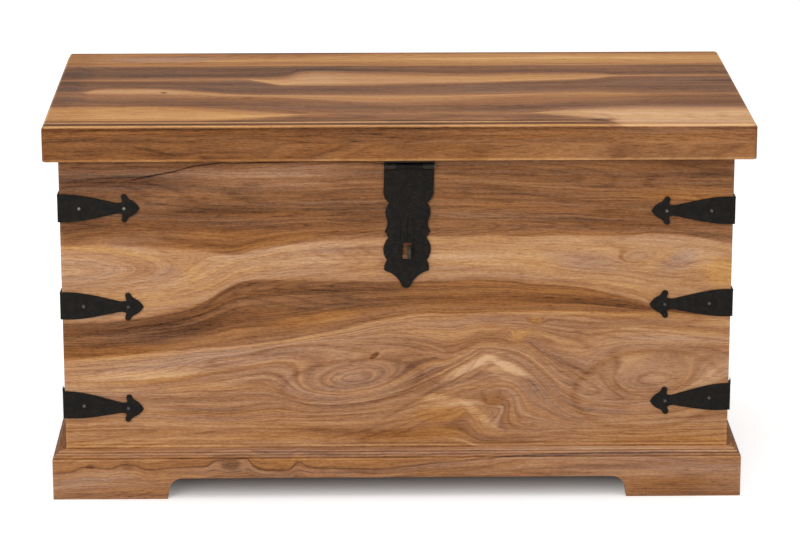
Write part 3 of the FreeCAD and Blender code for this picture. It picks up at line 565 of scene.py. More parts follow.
class TimberGroups:
    """Node groups that every wooden piece shares."""

    def __init__(self, palette: Palette, grain: Grain) -> None:
        """Builds the groups.

        Args:
            palette: the timber's colours.
            grain: its streaks.
        """
        self.oval = self._oval()
        self.band = self._band()
        self.growth = self._growth(grain)
        self.surface = self._surface(palette, grain)
        self.arris = self._arris()

    @staticmethod
    def _oval() -> Tree:
        """A leaning oval on a board's face: a swell that fades out, and a patch with an edge.

        Returns:
            The group.
        """
        group = SharedGroup(
            "Timber oval",
            ("Along", "Across", "Centre Along", "Centre Across", "Reach Along", "Reach Across",
             "Lean", "Edge"),
            ("Swell", "Patch"))
        bench, inputs = group.bench, group.inputs
        along = bench.less(inputs["Along"], inputs["Centre Along"])
        across = bench.less(inputs["Across"], inputs["Centre Across"])
        cosine, sine = bench.math("COSINE", inputs["Lean"]), bench.math("SINE", inputs["Lean"])
        length = bench.total(bench.times(along, cosine), bench.times(across, sine))
        width = bench.less(bench.times(across, cosine), bench.times(along, sine))
        length = bench.math("DIVIDE", length, inputs["Reach Along"])
        width = bench.math("DIVIDE", width, inputs["Reach Across"])
        far = bench.total(bench.square(length), bench.square(width))
        swell = bench.math("EXPONENT", bench.times(far, -1.0))
        rim = bench.math("SQRT", far)
        patch = bench.span(rim, bench.less(1.0, inputs["Edge"]),
                           bench.total(1.0, inputs["Edge"]), 1.0, 0.0, smooth=True)
        return group.give(Swell=swell, Patch=patch)

    @staticmethod
    def _band() -> Tree:
        """A straight band across one axis, with soft edges.

        Returns:
            The group.
        """
        group = SharedGroup("Timber band", ("Place", "Middle", "Half", "Soft"), ("Band",))
        bench, inputs = group.bench, group.inputs
        away = bench.math("ABSOLUTE", bench.less(inputs["Place"], inputs["Middle"]))
        band = bench.span(away, bench.less(inputs["Half"], inputs["Soft"]),
                          bench.total(inputs["Half"], inputs["Soft"]), 1.0, 0.0, smooth=True)
        return group.give(Band=band)

    @staticmethod
    def _growth(grain: Grain) -> Tree:
        """Distance from a wandering pith, in millimetres: the growth rings that a plain board cuts.

        Args:
            grain: the timber's streaks.

        Returns:
            The group.
        """
        group = SharedGroup(
            "Timber growth",
            ("Along", "Across", "Depth", "Pith Across", "Pith Depth", "Drift Across", "Drift Depth",
             "Wander", "Seed"),
            ("Rings",))
        bench, inputs = group.bench, group.inputs
        spots = []
        for name, shift in (("Across", 0.0), ("Depth", grain.depth_shift)):
            start = bench.total(inputs["Seed"], shift)
            drift = bench.streaks(grain.wander, inputs["Along"], inputs["Across"], inputs["Depth"], start)
            sway = bench.less(drift, 0.5)
            spot = bench.scaled(sway, inputs["Wander"], inputs[name])
            pith = bench.scaled(inputs["Along"], inputs[f"Drift {name}"], inputs[f"Pith {name}"])
            spots.append(bench.less(spot, pith))
        across, depth = spots
        away = bench.total(bench.square(across), bench.square(depth))
        return group.give(Rings=bench.math("SQRT", away))

    @staticmethod
    def _surface(palette: Palette, grain: Grain) -> Tree:
        """Colour, roughness and relief of the timber along its growth rings.

        Args:
            palette: the timber's colours.
            grain: its streaks.

        Returns:
            The group.
        """
        group = SharedGroup(
            "Timber surface",
            ("Along", "Across", "Depth", "Rings", "Tone", "Hue", "Contrast", "Seed"),
            ("Colour", "Roughness", "Height"), colours=("Colour",))
        bench, inputs = group.bench, group.inputs

        def ringed(kind: Streak) -> Socket:
            """Streaks that follow the growth rings."""
            start = bench.total(inputs["Seed"], kind.shift)
            return bench.streaks(kind, inputs["Along"], inputs["Rings"], start=start)

        def fibred(kind: Streak) -> Socket:
            """Streaks that run straight along the board."""
            return bench.streaks(kind, inputs["Along"], inputs["Across"], inputs["Depth"])

        def shares(mixture: Mixture) -> list[Socket]:
            """The streaks of a mixture, each times its share."""
            return [bench.times(looks[name], share) for name, share in mixture]

        looks = {name: bench.less(ringed(getattr(grain, name)), 0.5) for name in ("bands", "lines", "veins")}
        looks |= {name: bench.less(fibred(getattr(grain, name)), 0.5)
                  for name in ("fibres", "specks", "blotches")}
        folds = bench.math("PINGPONG", bench.times(ringed(grain.contours), grain.contour_count), 1.0)
        looks["pencil"] = bench.span(folds, 0.0, grain.contour_edge, 1.0, 0.0, smooth=True)
        looks["pores"] = bench.span(fibred(grain.pores), *grain.pore_span)
        figure = bench.total(*shares(grain.in_figure))
        tone = bench.total(bench.scaled(figure, inputs["Contrast"], inputs["Tone"]), *shares(grain.in_tone))
        hue = bench.total(inputs["Hue"], *shares(grain.in_hue))
        warm = bench.mix(bench.math("ADD", hue, 0.0, clamp=True), bench.ramp(tone, palette.brown),
                         bench.ramp(tone, palette.golden))
        cool = bench.math("MULTIPLY", hue, -1.0, clamp=True)
        colour = bench.mix(cool, warm, bench.ramp(tone, palette.mauve))
        return group.give(Colour=colour, Roughness=bench.total(grain.matt, *shares(grain.in_roughness)),
                          Height=bench.total(*shares(grain.in_height)))

    @staticmethod
    def _arris() -> Tree:
        """How near a point lies to an edge of a board's box, from 0 to 1.

        Returns:
            The group.
        """
        sides = [f"{end} {axis}" for axis in "XYZ" for end in ("Low", "High")]
        group = SharedGroup("Board arris", ("X", "Y", "Z", *sides, "Width"), ("Edge",))
        bench, inputs = group.bench, group.inputs
        near = []
        for axis in "XYZ":
            low = bench.less(inputs[axis], inputs[f"Low {axis}"])
            high = bench.less(inputs[f"High {axis}"], inputs[axis])
            near.append(bench.span(bench.math("MINIMUM", low, high), 0.0, inputs["Width"], 1.0, 0.0))
        pairs = [bench.times(near[a], near[b]) for a, b in ((0, 1), (1, 2), (0, 2))]
        return group.give(Edge=bench.math("MAXIMUM", bench.math("MAXIMUM", pairs[0], pairs[1]), pairs[2]))


@dataclass(frozen=True)
class Oval:
    """An eye, knot or patch in a board's figure. Lengths are millimetres."""

    along: float
    across: float
    reach_along: float
    reach_across: float
    lean: float = 0.0
    lift: float = 0.0
    shade: float = 0.0
    hue: float = 0.0
    edge: float = 0.5


@dataclass(frozen=True)
class Band:
    """A span along one axis of the chest, in millimetres, with soft ends."""

    axis: str
    middle: float
    half: float
    soft: float = 0.5


@dataclass(frozen=True)
class Line:
    """A straight line along a moulding, where all its bands meet: mostly painted shade where it is dark and a
    painted highlight where it is light.
    """

    shade: float
    bands: tuple[Band, ...]

    @classmethod
    def level(cls, shade: float, height: float, half: float, soft: float) -> "Line":
        """A line that runs level all round, at one height."""
        return cls(shade, (Band("Z", height, half, soft),))


@dataclass(frozen=True)
class Layer:
    """A stretch of growth between two flow lines: its usual thickness and its tones, low to high."""

    thickness: float
    low_tone: float
    high_tone: float
    hue: float = 0.0
    contrast: float = 1.0


@dataclass(frozen=True)
class Timber:
    """The figure of one plain-sawn board, cut from a log by its own pith. Lengths are millimetres."""

    lay: Lay
    tone: float = 0.55
    hue: float = 0.0
    contrast: float = 1.0
    pith_across: float = 60.0
    pith_depth: float = 45.0
    drift_across: float = 0.03
    drift_depth: float = 0.04
    wander: float = 60.0
    seed: float = 0.0
    ovals: tuple[Oval, ...] = ()
    lines: tuple[Line, ...] = ()
    face: float = 0.0
    shear: float = 0.0
    edge_shade: float = 0.05
    roughness_shift: float = 0.0
    sway: Streak = Streak(0.011, 0.03, 3.0, 0.55)
    sway_reach: float = 9.0
    arris_width: float = 5.0
    specular: float = 0.025
    relief: float = 0.35
    relief_depth: float = 0.25

    def rings(self, bench: Bench, groups: TimberGroups, along: Socket,
              across: Socket, depth: Socket) -> Figure:
        """Works out the growth, tone, hue and contrast over the board.

        Args:
            bench: the material's nodes.
            groups: the shared groups.
            along: place along the grain.
            across: place across the face.
            depth: place into the depth.

        Returns:
            The growth, the tone, the hue and the contrast.
        """
        growth = bench.place(
            groups.growth, Along=along, Across=across, Depth=depth, Pith_Across=self.pith_across,
            Pith_Depth=self.pith_depth, Drift_Across=self.drift_across, Drift_Depth=self.drift_depth,
            Wander=self.wander, Seed=self.seed)["Rings"]
        return growth, self.tone, self.hue, self.contrast

    def material(self, name: str, groups: TimberGroups, low: Vector, high: Vector) -> bpy.types.Material:
        """Makes the board's material.

        Args:
            name: the material's name.
            groups: the shared groups.
            low: the board's lowest corner, in metres.
            high: the board's highest corner, in metres.

        Returns:
            The material.
        """
        bench = Surface(name)
        places = {axis: bench.times(bench.spot[axis], 1 / MM) for axis in "XYZ"}
        along, face, depth = (places[axis] for axis in self.lay.value)
        across = bench.scaled(bench.less(depth, self.face), self.shear, face)
        sway = bench.less(bench.streaks(self.sway, along, across, depth, self.seed), 0.5)
        across = bench.scaled(sway, self.sway_reach, across)
        growth, tone, hue, contrast = self.rings(bench, groups, along, across, depth)
        for oval in self.ovals:
            masks = bench.place(
                groups.oval, Along=along, Across=across, Centre_Along=oval.along, Centre_Across=oval.across,
                Reach_Along=oval.reach_along, Reach_Across=oval.reach_across, Lean=math.radians(oval.lean),
                Edge=oval.edge)
            if oval.lift:
                growth = bench.scaled(masks["Swell"], oval.lift, growth)
            if oval.shade:
                tone = bench.scaled(masks["Patch"], oval.shade, tone)
            if oval.hue:
                hue = bench.scaled(masks["Patch"], oval.hue, hue)
        for line in self.lines:
            mask = line.shade
            for band in line.bands:
                mask = bench.times(bench.place(
                    groups.band, Place=places[band.axis], Middle=band.middle, Half=band.half,
                    Soft=band.soft)["Band"], mask)
            tone = bench.total(tone, mask)
        ends = {f"{end}_{axis}": place for end, corner in (("Low", low), ("High", high))
                for axis, place in zip("XYZ", corner)}
        arris = bench.place(groups.arris, **bench.spot, **ends, Width=self.arris_width * MM)["Edge"]
        # Painted highlight along the edges of the board's box, by edge_shade; a negative edge_shade darkens
        # them instead.
        tone = bench.scaled(arris, self.edge_shade, tone)
        surface = bench.place(groups.surface, Along=along, Across=face, Depth=depth, Rings=growth, Tone=tone,
                              Hue=hue, Contrast=contrast, Seed=self.seed)
        bench.feed(bench.shader["Base Color"], surface["Colour"])
        rough = surface["Roughness"]
        if self.roughness_shift:
            rough = bench.math("ADD", rough, self.roughness_shift, clamp=True)
        bench.feed(bench.shader["Roughness"], rough)
        bench.feed(bench.shader["Specular IOR Level"], self.specular)
        bench.relief(surface["Height"], self.relief, self.relief_depth)
        return bench.material

    def dress(self, node: str, groups: TimberGroups) -> None:
        """Gives a CAD node this board's material.

        Args:
            node: the node's name.
            groups: the shared groups.
        """
        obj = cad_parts[node]
        obj.data.materials.clear()
        obj.data.materials.append(self.material(f"timber_{node}", groups, *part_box(node)))
        log.info("dressed %s", node)


@dataclass(frozen=True)
class FlowTimber(Timber):
    """A board whose figure follows flow lines drawn on its face, with a layer between each two."""

    flows: tuple[tuple[Point, ...], ...] = ()
    layers: tuple[Layer, ...] = ()
    half_length: float = 460.0
    reach: tuple[float, float] = (0.0, 460.0)
    blur: float = 1.6

    def rings(self, bench: Bench, groups: TimberGroups, along: Socket,
              across: Socket, depth: Socket) -> Figure:
        """Works out the growth, tone, hue and contrast between the flow lines.

        Args:
            bench: the material's nodes.
            groups: the shared groups, not used here.
            along: place along the grain.
            across: place across the face.
            depth: place into the depth, not used here.

        Returns:
            The growth, the tone, the hue and the contrast.
        """
        low, high = self.reach
        share = bench.span(along, -self.half_length, self.half_length)
        lines = []
        for flow in self.flows:
            points = [((x + self.half_length) / (2 * self.half_length), (y - low) / (high - low))
                      for x, y in flow]
            lines.append(bench.scaled(bench.curve(share, points), high - low, low))
        steps = [bench.span(across, lower, upper, 0.0, layer.thickness)
                 for lower, upper, layer in zip(lines, lines[1:], self.layers)]
        growth = bench.total(*steps)
        whole = sum(layer.thickness for layer in self.layers)
        inward = bench.math("DIVIDE", growth, whole)
        tones, hues, contrasts = [], [], []
        start = 0.0
        for layer in self.layers:
            blur = min(self.blur, layer.thickness / 3)
            ends = ((start + blur, layer.low_tone), (start + layer.thickness - blur, layer.high_tone))
            for at, tone in ends:
                tones.append((at / whole, tone))
                hues.append((at / whole, (layer.hue + 1) / 2))
                contrasts.append((at / whole, layer.contrast / 2))
            start += layer.thickness
        tone = bench.curve(inward, tones, "VECTOR")
        hue = bench.scaled(bench.curve(inward, hues, "VECTOR"), 2.0, self.hue - 1.0)
        contrast = bench.times(bench.curve(inward, contrasts, "VECTOR"), 2.0 * self.contrast)
        return growth, bench.total(tone, self.tone), hue, contrast


@dataclass(frozen=True)
class IronFinish:
    """Blackened wrought iron, hammered, with a trace of brown and wear on its high spots; the lighter
    finishes and the nails' crowns carry painted highlights.
    """

    name: str
    black: Colour = srgb(15, 13, 11)
    brown: Colour = srgb(29, 24, 19)
    worn: Colour = srgb(74, 68, 60)
    roughness: float = 0.5
    specular: float = 0.13
    hammer: float = 9.0
    wear: float = 0.5
    crown: bool = False
    crown_wear: float = 0.85
    stain_roughness: float = 0.16
    metallic: float = 0.2
    relief: float = 0.6
    relief_depth: float = 0.9

    def material(self, hammered: Tree) -> bpy.types.Material:
        """Makes the iron's material.

        Args:
            hammered: the shared group of the hammered surface.

        Returns:
            The material.
        """
        bench = Surface(self.name)
        iron = bench.place(hammered, **bench.spot, Size=self.hammer * MM)
        wear = bench.times(iron["Rubbed"], self.wear)
        # A painted glint on each nail's crown, from the crown mark, in the lighter colour.
        if self.crown:
            bright = bench.add("ShaderNodeAttribute", attribute_name="crown").outputs["Fac"]
            wear = bench.math("MAXIMUM", wear, bench.times(bright, self.crown_wear))
        colour = bench.mix(iron["Stain"], self.black, self.brown)
        bench.feed(bench.shader["Base Color"], bench.mix(wear, colour, self.worn))
        rough = bench.scaled(iron["Stain"], self.stain_roughness, self.roughness)
        bench.feed(bench.shader["Roughness"], rough)
        bench.feed(bench.shader["Metallic"], self.metallic)
        bench.feed(bench.shader["Specular IOR Level"], self.specular)
        bench.relief(iron["Height"], self.relief, self.relief_depth)
        return bench.material


@dataclass(frozen=True)
class Hammering:
    """The hammered surface: its dents, scale and grit, and the spans of noise that stain and rub it."""

    dents: float = 0.8
    smoothness: float = 0.7
    scale: float = 0.35
    grit: float = 0.08
    grit_size: float = 7.0
    stained: Point = (0.42, 0.68)
    rubbed: Point = (0.56, 0.75)

    def group(self) -> Tree:
        """Makes the shared group of hammer marks, stains and rubbed spots.

        Returns:
            The group.
        """
        group = SharedGroup("Hammered iron", ("X", "Y", "Z", "Size"), ("Height", "Stain", "Rubbed"))
        bench, inputs = group.bench, group.inputs
        spot = bench.vector(*(bench.math("DIVIDE", inputs[axis], inputs["Size"]) for axis in "XYZ"))
        cells = bench.add("ShaderNodeTexVoronoi", feature="SMOOTH_F1")
        for name, source in (("Vector", spot), ("Scale", 1.0), ("Smoothness", self.smoothness)):
            bench.feed(cells.inputs[name], source)
        scale, grit = bench.noise(spot, 4.0, 0.6), bench.noise(spot, 3.0, scale=self.grit_size)
        height = bench.total(bench.times(cells.outputs["Distance"], self.dents),
                             bench.times(scale, self.scale), bench.times(grit, self.grit))
        return group.give(Height=height, Stain=bench.span(scale, *self.stained, smooth=True),
                          Rubbed=bench.span(grit, *self.rubbed, smooth=True))


class Ironwork:
    """The iron finishes of the chest and what they share."""

    def __init__(self) -> None:
        """Builds the hammered surface and the finishes."""
        hammered = Hammering().group()
        self.plate = IronFinish("wrought_iron").material(hammered)
        self.forged = IronFinish("forged_iron", roughness=0.42, hammer=4.0, wear=0.3).material(hammered)
        # The bracket's, the staple's and the pin's lighter finishes are painted highlights where their
        # rounded iron catches the light.
        self.rubbed = IronFinish("rubbed_iron", black=srgb(40, 37, 34), brown=srgb(54, 47, 40), hammer=4.0,
                                 worn=srgb(104, 98, 92)).material(hammered)
        self.worn = IronFinish("worn_iron", black=srgb(56, 52, 48), brown=srgb(70, 63, 56), hammer=3.0,
                               worn=srgb(112, 107, 101)).material(hammered)
        self.bright = IronFinish("bright_iron", black=srgb(128, 124, 118), brown=srgb(150, 146, 140),
                                 hammer=2.0, worn=srgb(205, 202, 197), roughness=0.36,
                                 wear=0.4).material(hammered)
        self.nail = IronFinish("nail_iron", black=srgb(22, 21, 20), roughness=0.42, hammer=3.0, wear=0.2,
                               worn=srgb(172, 168, 162), crown=True).material(hammered)

    @staticmethod
    def coat(obj: Piece, material: bpy.types.Material) -> None:
        """Replaces an object's materials by one."""
        obj.data.materials.clear()
        obj.data.materials.append(material)


@dataclass(frozen=True)
class Bow:
    """A corner of a plate's outline, and how far the edge to the next corner bows out of its chord."""

    x: float
    y: float
    bow: float = 0.0


def cut_plate(name: str, outlines: Sequence[Sequence[Bow]], thickness: float, ease: float,
              steps: int = 6) -> Piece:
    """Cuts a plate with rounded edges from outlines, as a filled flat curve turned into a mesh.

    Args:
        name: the plate's name.
        outlines: the outer edge and any holes, in millimetres.
        thickness: the plate's thickness in millimetres.
        ease: radius of its softened edges in millimetres.
        steps: segments between two corners.

    Returns:
        The plate in the XY plane, from z = 0 up.
    """
    bpy.ops.object.select_all(action="DESELECT")
    bpy.ops.curve.primitive_bezier_curve_add(location=(0, 0, 0))
    plate = newest()
    plate.name = name
    curve = plate.data
    curve.splines.clear()
    curve.dimensions, curve.fill_mode, curve.resolution_u = "2D", "BOTH", steps
    for outline in outlines:
        spline = curve.splines.new("BEZIER")
        spline.use_cyclic_u = True
        spline.bezier_points.add(len(outline) - 1)
        for index, corner in enumerate(outline):
            knot = spline.bezier_points[index]
            knot.handle_left_type = knot.handle_right_type = "FREE"
            knot.co = Vector((corner.x, corner.y, 0)) * MM
            knot.handle_left = knot.handle_right = knot.co
        for index, corner in enumerate(outline):
            first, last = spline.bezier_points[index], spline.bezier_points[(index + 1) % len(outline)]
            run = last.co - first.co
            turn = 2 * math.atan(2 * abs(corner.bow))
            reach = run.length / 3 if turn == 0 else run.length * 2 / 3 * math.tan(turn / 2) / math.sin(turn)
            lean = math.copysign(turn, corner.bow)
            first.handle_right = first.co + (Matrix.Rotation(lean, 3, "Z") @ run).normalized() * reach
            last.handle_left = last.co - (Matrix.Rotation(-lean, 3, "Z") @ run).normalized() * reach
    curve.bevel_depth, curve.bevel_resolution, curve.offset = ease * MM, 2, -ease * MM
    curve.extrude = (thickness / 2 - ease) * MM
    bpy.ops.object.convert(target="MESH")
    plate.data.transform(Matrix.Translation((0, 0, thickness / 2 * MM)))
    clean(plate)
    return plate


@dataclass
class Carcase:
    """The four panels, the floor and what carries it. Lengths are millimetres."""

    groups: TimberGroups
    panel_seed: float = 3.0
    foot_line: float = 63.2
    rim_line: float = 449.0

    def front(self) -> FlowTimber:
        """The front panel's figure, drawn line by line from the foot to the rim.

        Returns:
            The panel's timber.
        """
        return FlowTimber(
            lay=Lay.FRONT, tone=0.0, seed=self.panel_seed, face=-203.0, shear=0.9, reach=(0.0, 460.0),
            flows=(
                ((-460, 46), (460, 46)),
                ((-460, 84), (-330, 86), (-250, 88), (-150, 84), (-60, 80), (0, 84), (40, 90), (75, 84),
                 (110, 72), (160, 73), (230, 78), (300, 78), (460, 76)),
                ((-460, 104), (-330, 102), (-240, 100), (-150, 106), (-60, 108), (0, 116), (40, 124),
                 (70, 124), (95, 108), (120, 92), (160, 88), (230, 90), (310, 92), (460, 92)),
                ((-460, 128), (-330, 122), (-240, 122), (-165, 130), (-110, 120), (-40, 122), (10, 132),
                 (50, 152), (85, 172), (112, 184), (135, 178), (160, 158), (190, 130), (220, 106), (260, 102),
                 (330, 108), (460, 112)),
                ((-460, 164), (-330, 168), (-240, 182), (-150, 200), (-70, 206), (0, 204), (40, 196),
                 (62, 190), (85, 196), (112, 206), (150, 206), (185, 186), (215, 172), (235, 172), (260, 184),
                 (300, 194), (350, 196), (460, 190)),
                ((-460, 178), (-378, 182), (-278, 191), (-178, 201), (-128, 208), (-78, 219), (-28, 231),
                 (22, 239), (72, 242), (172, 241), (222, 240), (272, 236), (322, 232), (372, 227),
                 (460, 220)),
                ((-460, 184), (-378, 188), (-278, 197), (-178, 206), (-128, 213), (-78, 224), (-28, 236),
                 (22, 243), (72, 245), (172, 246), (272, 246), (322, 246), (372, 242), (460, 234)),
                ((-460, 233), (-378, 234), (-328, 239), (-278, 249), (-253, 259), (-228, 276), (-203, 289),
                 (-178, 290), (-148, 290), (-103, 289), (-58, 288), (-18, 287), (52, 287), (122, 287),
                 (172, 283), (222, 278), (272, 268), (302, 260), (325, 250), (345, 248), (372, 246),
                 (460, 239)),
                ((-460, 336), (-350, 336), (-300, 333), (-250, 327), (-210, 323), (-180, 328), (-148, 334),
                 (-108, 340), (-58, 343), (50, 346), (150, 346), (300, 347), (370, 343), (460, 327)),
                ((-460, 372), (-350, 370), (-250, 366), (-150, 368), (0, 372), (150, 370), (250, 366),
                 (350, 362), (460, 366)),
                ((-460, 405), (-300, 408), (-150, 402), (0, 405), (150, 402), (300, 396), (460, 392)),
                ((-460, 456), (460, 456)),
            ),
            layers=(
                Layer(32, 0.67, 0.70, 0.35, 1.1), Layer(22, 0.67, 0.68, 0.15, 1.2),
                Layer(30, 0.65, 0.67, -0.1, 1.3), Layer(50, 0.66, 0.69, -0.1, 1.4),
                Layer(30, 0.70, 0.72, -0.15, 1.3), Layer(6, 0.78, 0.80, 0.2),
                Layer(52, 0.46, 0.37, 0.35, 1.2), Layer(52, 0.74, 0.80, -0.05, 0.9),
                Layer(28, 0.50, 0.42, 0.2, 1.2), Layer(34, 0.45, 0.45, 0.1, 1.1),
                Layer(48, 0.48, 0.48, 0.1, 1.1),
            ),
            ovals=(*self.eyes(), *self.crest(), *self.streaks(), *self.crest_edges(), *self.crack()),
            lines=self.joint_lines())

    @staticmethod
    def eyes() -> tuple[Oval, ...]:
        """The three eyes, each with its swell, its rim and its core.

        Returns:
            The ovals.
        """
        return (
            Oval(-430, 299, 165, 30, 0, lift=60),
            Oval(-402, 299, 152, 37, -2, shade=0.05, hue=0.5, edge=0.10),
            Oval(-406, 300, 134, 28, -2, shade=-0.05, hue=-0.75, edge=0.14),
            Oval(-65, 151, 88, 26, 7, lift=36), Oval(-62, 151, 93, 33, 7, shade=-0.15, edge=0.07),
            Oval(-62, 151, 86, 28, 7, shade=0.16, hue=-0.15, edge=0.09),
            Oval(-62, 150, 34, 6, 10, shade=-0.08, hue=-0.3, edge=0.4), Oval(325, 140, 92, 38, 5, lift=36),
            Oval(322, 139, 101, 54, 5, shade=-0.10, hue=0.3, edge=0.05),
            Oval(324, 139, 95, 49, 5, shade=0.15, hue=-0.4, edge=0.08),
            Oval(345, 168, 80, 46, 0, shade=0.09, edge=0.6), Oval(24, 160, 34, 30, 0, shade=-0.09, edge=0.7),
            Oval(300, 138, 34, 20, 10, shade=-0.07, edge=0.12),
        )

    @staticmethod
    def crest() -> tuple[Oval, ...]:
        """The crest at the lower right, and the knots about it and above it.

        Returns:
            The ovals.
        """
        return (
            Oval(118, 122, 40, 22, 30, lift=-18),
            Oval(130, 158, 110, 38, 0, shade=-0.04, hue=-0.25, edge=0.7),
            Oval(120, 126, 14, 8, 20, lift=12, shade=-0.05, hue=0.8),
            Oval(302, 316, 26, 10, 0, lift=14, shade=-0.06),
            Oval(238, 312, 44, 13, -8, lift=10, shade=-0.13, hue=-0.9, edge=0.7),
            Oval(356, 310, 24, 12, 20, lift=10, shade=-0.11, hue=-1.0, edge=0.6),
            Oval(412, 296, 20, 16, 0, shade=0.04, hue=1.2, edge=0.6),
            Oval(385, 320, 24, 9, 0, shade=0.08, hue=-0.3, edge=0.6),
            Oval(-33, 188, 7, 3.2, 35, lift=8, shade=-0.34, hue=0.8, edge=0.4),
            Oval(152, 212, 12, 8, 20, lift=10, shade=0.08, hue=0.6),
            Oval(175, 233, 10, 5, 0, lift=8, shade=-0.04, hue=1.0),
        )

    @staticmethod
    def streaks() -> tuple[Oval, ...]:
        """Dark and pale streaks from the rim down to the broad dark wave.

        Returns:
            The ovals.
        """
        return (
            Oval(-255, 378, 75, 7, 2, shade=-0.20, edge=0.8),
            Oval(-40, 374, 40, 12, 0, shade=-0.12, edge=0.8),
            Oval(-400, 362, 42, 13, 0, shade=-0.12, edge=0.8),
            Oval(-235, 392, 100, 9, 3, shade=-0.10, edge=0.8),
            Oval(-90, 384, 70, 8, 4, shade=-0.08, edge=0.9),
            Oval(255, 366, 90, 10, -3, shade=-0.05, edge=0.8),
            Oval(290, 251, 90, 7, -3, shade=-0.10, edge=0.8),
            Oval(375, 438, 60, 12, 0, shade=-0.14, edge=0.8),
            Oval(-150, 432, 95, 9, 2, shade=0.12, hue=-0.3, edge=0.7),
            Oval(-350, 430, 100, 22, 0, shade=-0.05, hue=-0.6, edge=0.8),
            Oval(-385, 413, 95, 12, 2, shade=-0.22, edge=0.8),
            Oval(-170, 424, 110, 18, 0, shade=0.09, hue=-0.2, edge=0.8),
            Oval(360, 400, 55, 9, 0, shade=0.05, hue=0.7, edge=0.8),
            Oval(-215, 342, 100, 12, 2, shade=0.08, hue=0.9, edge=0.6),
            Oval(-120, 320, 110, 18, 2, shade=0.03, hue=-0.3, edge=0.6),
            Oval(-45, 322, 34, 16, 0, shade=-0.09, hue=0.2, edge=0.7),
            Oval(180, 264, 150, 18, -2, shade=0.05, hue=0.4, edge=0.8),
            Oval(200, 318, 150, 24, 0, shade=0.06, hue=0.3, edge=0.8),
            Oval(-350, 222, 60, 14, 4, shade=-0.10, hue=-0.3, edge=0.8),
            Oval(-255, 228, 62, 10, 8, shade=-0.16, edge=0.8),
            Oval(-275, 243, 48, 10, 12, shade=-0.12, edge=0.8),
            Oval(-385, 196, 75, 8, 4, shade=-0.12, hue=0.6, edge=0.8),
            Oval(-105, 238, 50, 7, 8, shade=0.12, hue=0.9, edge=0.7),
            Oval(-365, 159, 95, 8, 3, shade=0.22, hue=0.5, edge=0.7),
            Oval(-260, 180, 150, 12, 9, hue=-0.7, edge=0.8),
        )

    @staticmethod
    def crest_edges() -> tuple[Oval, ...]:
        """Pale edges of the crest, and the dark streaks at the foot.

        Returns:
            The ovals.
        """
        return (
            Oval(86, 170, 34, 5.5, 25, shade=0.30, hue=0.1, edge=0.4),
            Oval(140, 171, 32, 5.5, -26, shade=0.28, hue=0.1, edge=0.4),
            Oval(58, 127, 38, 6, -6, shade=0.20, hue=0.2, edge=0.5),
            Oval(102, 107, 24, 5.5, -38, shade=0.18, hue=0.2, edge=0.5),
            Oval(126, 170, 30, 11, -22, shade=0.19, hue=0.2, edge=0.5),
            Oval(50, 107, 26, 10, 0, shade=-0.03, hue=1.2, edge=0.6),
            Oval(30, 132, 62, 2.4, 31, shade=-0.14, edge=0.6),
            Oval(15, 80, 62, 9, 4, shade=-0.16, hue=1.0, edge=0.7),
            Oval(125, 72, 70, 5, -4, shade=-0.08, edge=0.7), Oval(-210, 108, 95, 9, 0, shade=-0.09, edge=0.8),
            Oval(-70, 84, 62, 8, 0, shade=-0.12, edge=0.8), Oval(340, 70, 70, 5, 2, shade=-0.14, edge=0.8),
        )

    @staticmethod
    def crack() -> tuple[Oval, ...]:
        """The crack at the upper left, and painted shade round the staple, where the hasp's slot lies.

        Returns:
            The ovals.
        """
        return (
            Oval(-303, 429, 38, 1.1, 13, shade=-0.42, edge=0.5),
            Oval(-246, 440, 26, 1.0, 7, shade=-0.36, edge=0.5),
            Oval(-155, 443.4, 78, 0.9, 1.5, shade=-0.30, edge=0.5),
            Oval(-55, 443, 60, 0.8, -1.5, shade=-0.24, edge=0.6),
            # Painted shade on the wood seen through the hasp's slot.
            Oval(9.2, 329.5, 9.5, 14, 0, shade=-0.5, edge=0.4),
        )

    def joint_lines(self) -> tuple[Line, ...]:
        """Painted shade and a painted highlight along the plinth's joint, and a painted shadow under the lid.

        Returns:
            The lines.
        """
        foot = self.foot_line
        # Painted shade just above the plinth, a painted highlight above it, more painted shade, and a painted
        # shadow under the lid's edge.
        return (Line.level(-0.16, foot + 0.9, 0.9, 0.6), Line.level(0.12, foot + 3.2, 1.0, 0.6),
                Line.level(-0.14, foot + 5.8, 0.9, 0.6), Line.level(-0.22, self.rim_line, 4.0, 3.0))

    def build(self) -> None:
        """Dresses the panels, the floor and the cleats."""
        self.front().dress("front_panel", self.groups)
        lines = self.joint_lines()
        Timber(Lay.FRONT, tone=0.50, hue=0.1, seed=21.0, pith_across=300, pith_depth=150, drift_across=0.05,
               drift_depth=0.12, wander=90, lines=lines).dress("back_panel", self.groups)
        Timber(Lay.SIDE, tone=0.56, hue=0.05, seed=31.0, pith_across=215, pith_depth=-480, drift_across=-0.16,
               drift_depth=0.2, wander=80, lines=lines).dress("left_panel", self.groups)
        Timber(Lay.SIDE, tone=0.58, hue=0.0, seed=47.0, pith_across=260, pith_depth=500, drift_across=0.12,
               drift_depth=-0.22, wander=80, lines=lines).dress("right_panel", self.groups)
        for index in (1, 2, 3):
            Timber(Lay.TOP, tone=0.62, seed=50.0 + 7 * index, pith_across=-150 + 120 * index, pith_depth=-30,
                   roughness_shift=0.2, edge_shade=-0.05).dress(f"floor_board_{index}", self.groups)
        for index, side in enumerate(("front", "back", "left", "right")):
            lay = Lay.FRONT if side in ("front", "back") else Lay.SIDE
            Timber(lay, tone=0.60, seed=80.0 + 5 * index, roughness_shift=0.2, wander=30).dress(
                f"floor_cleat_{side}", self.groups)


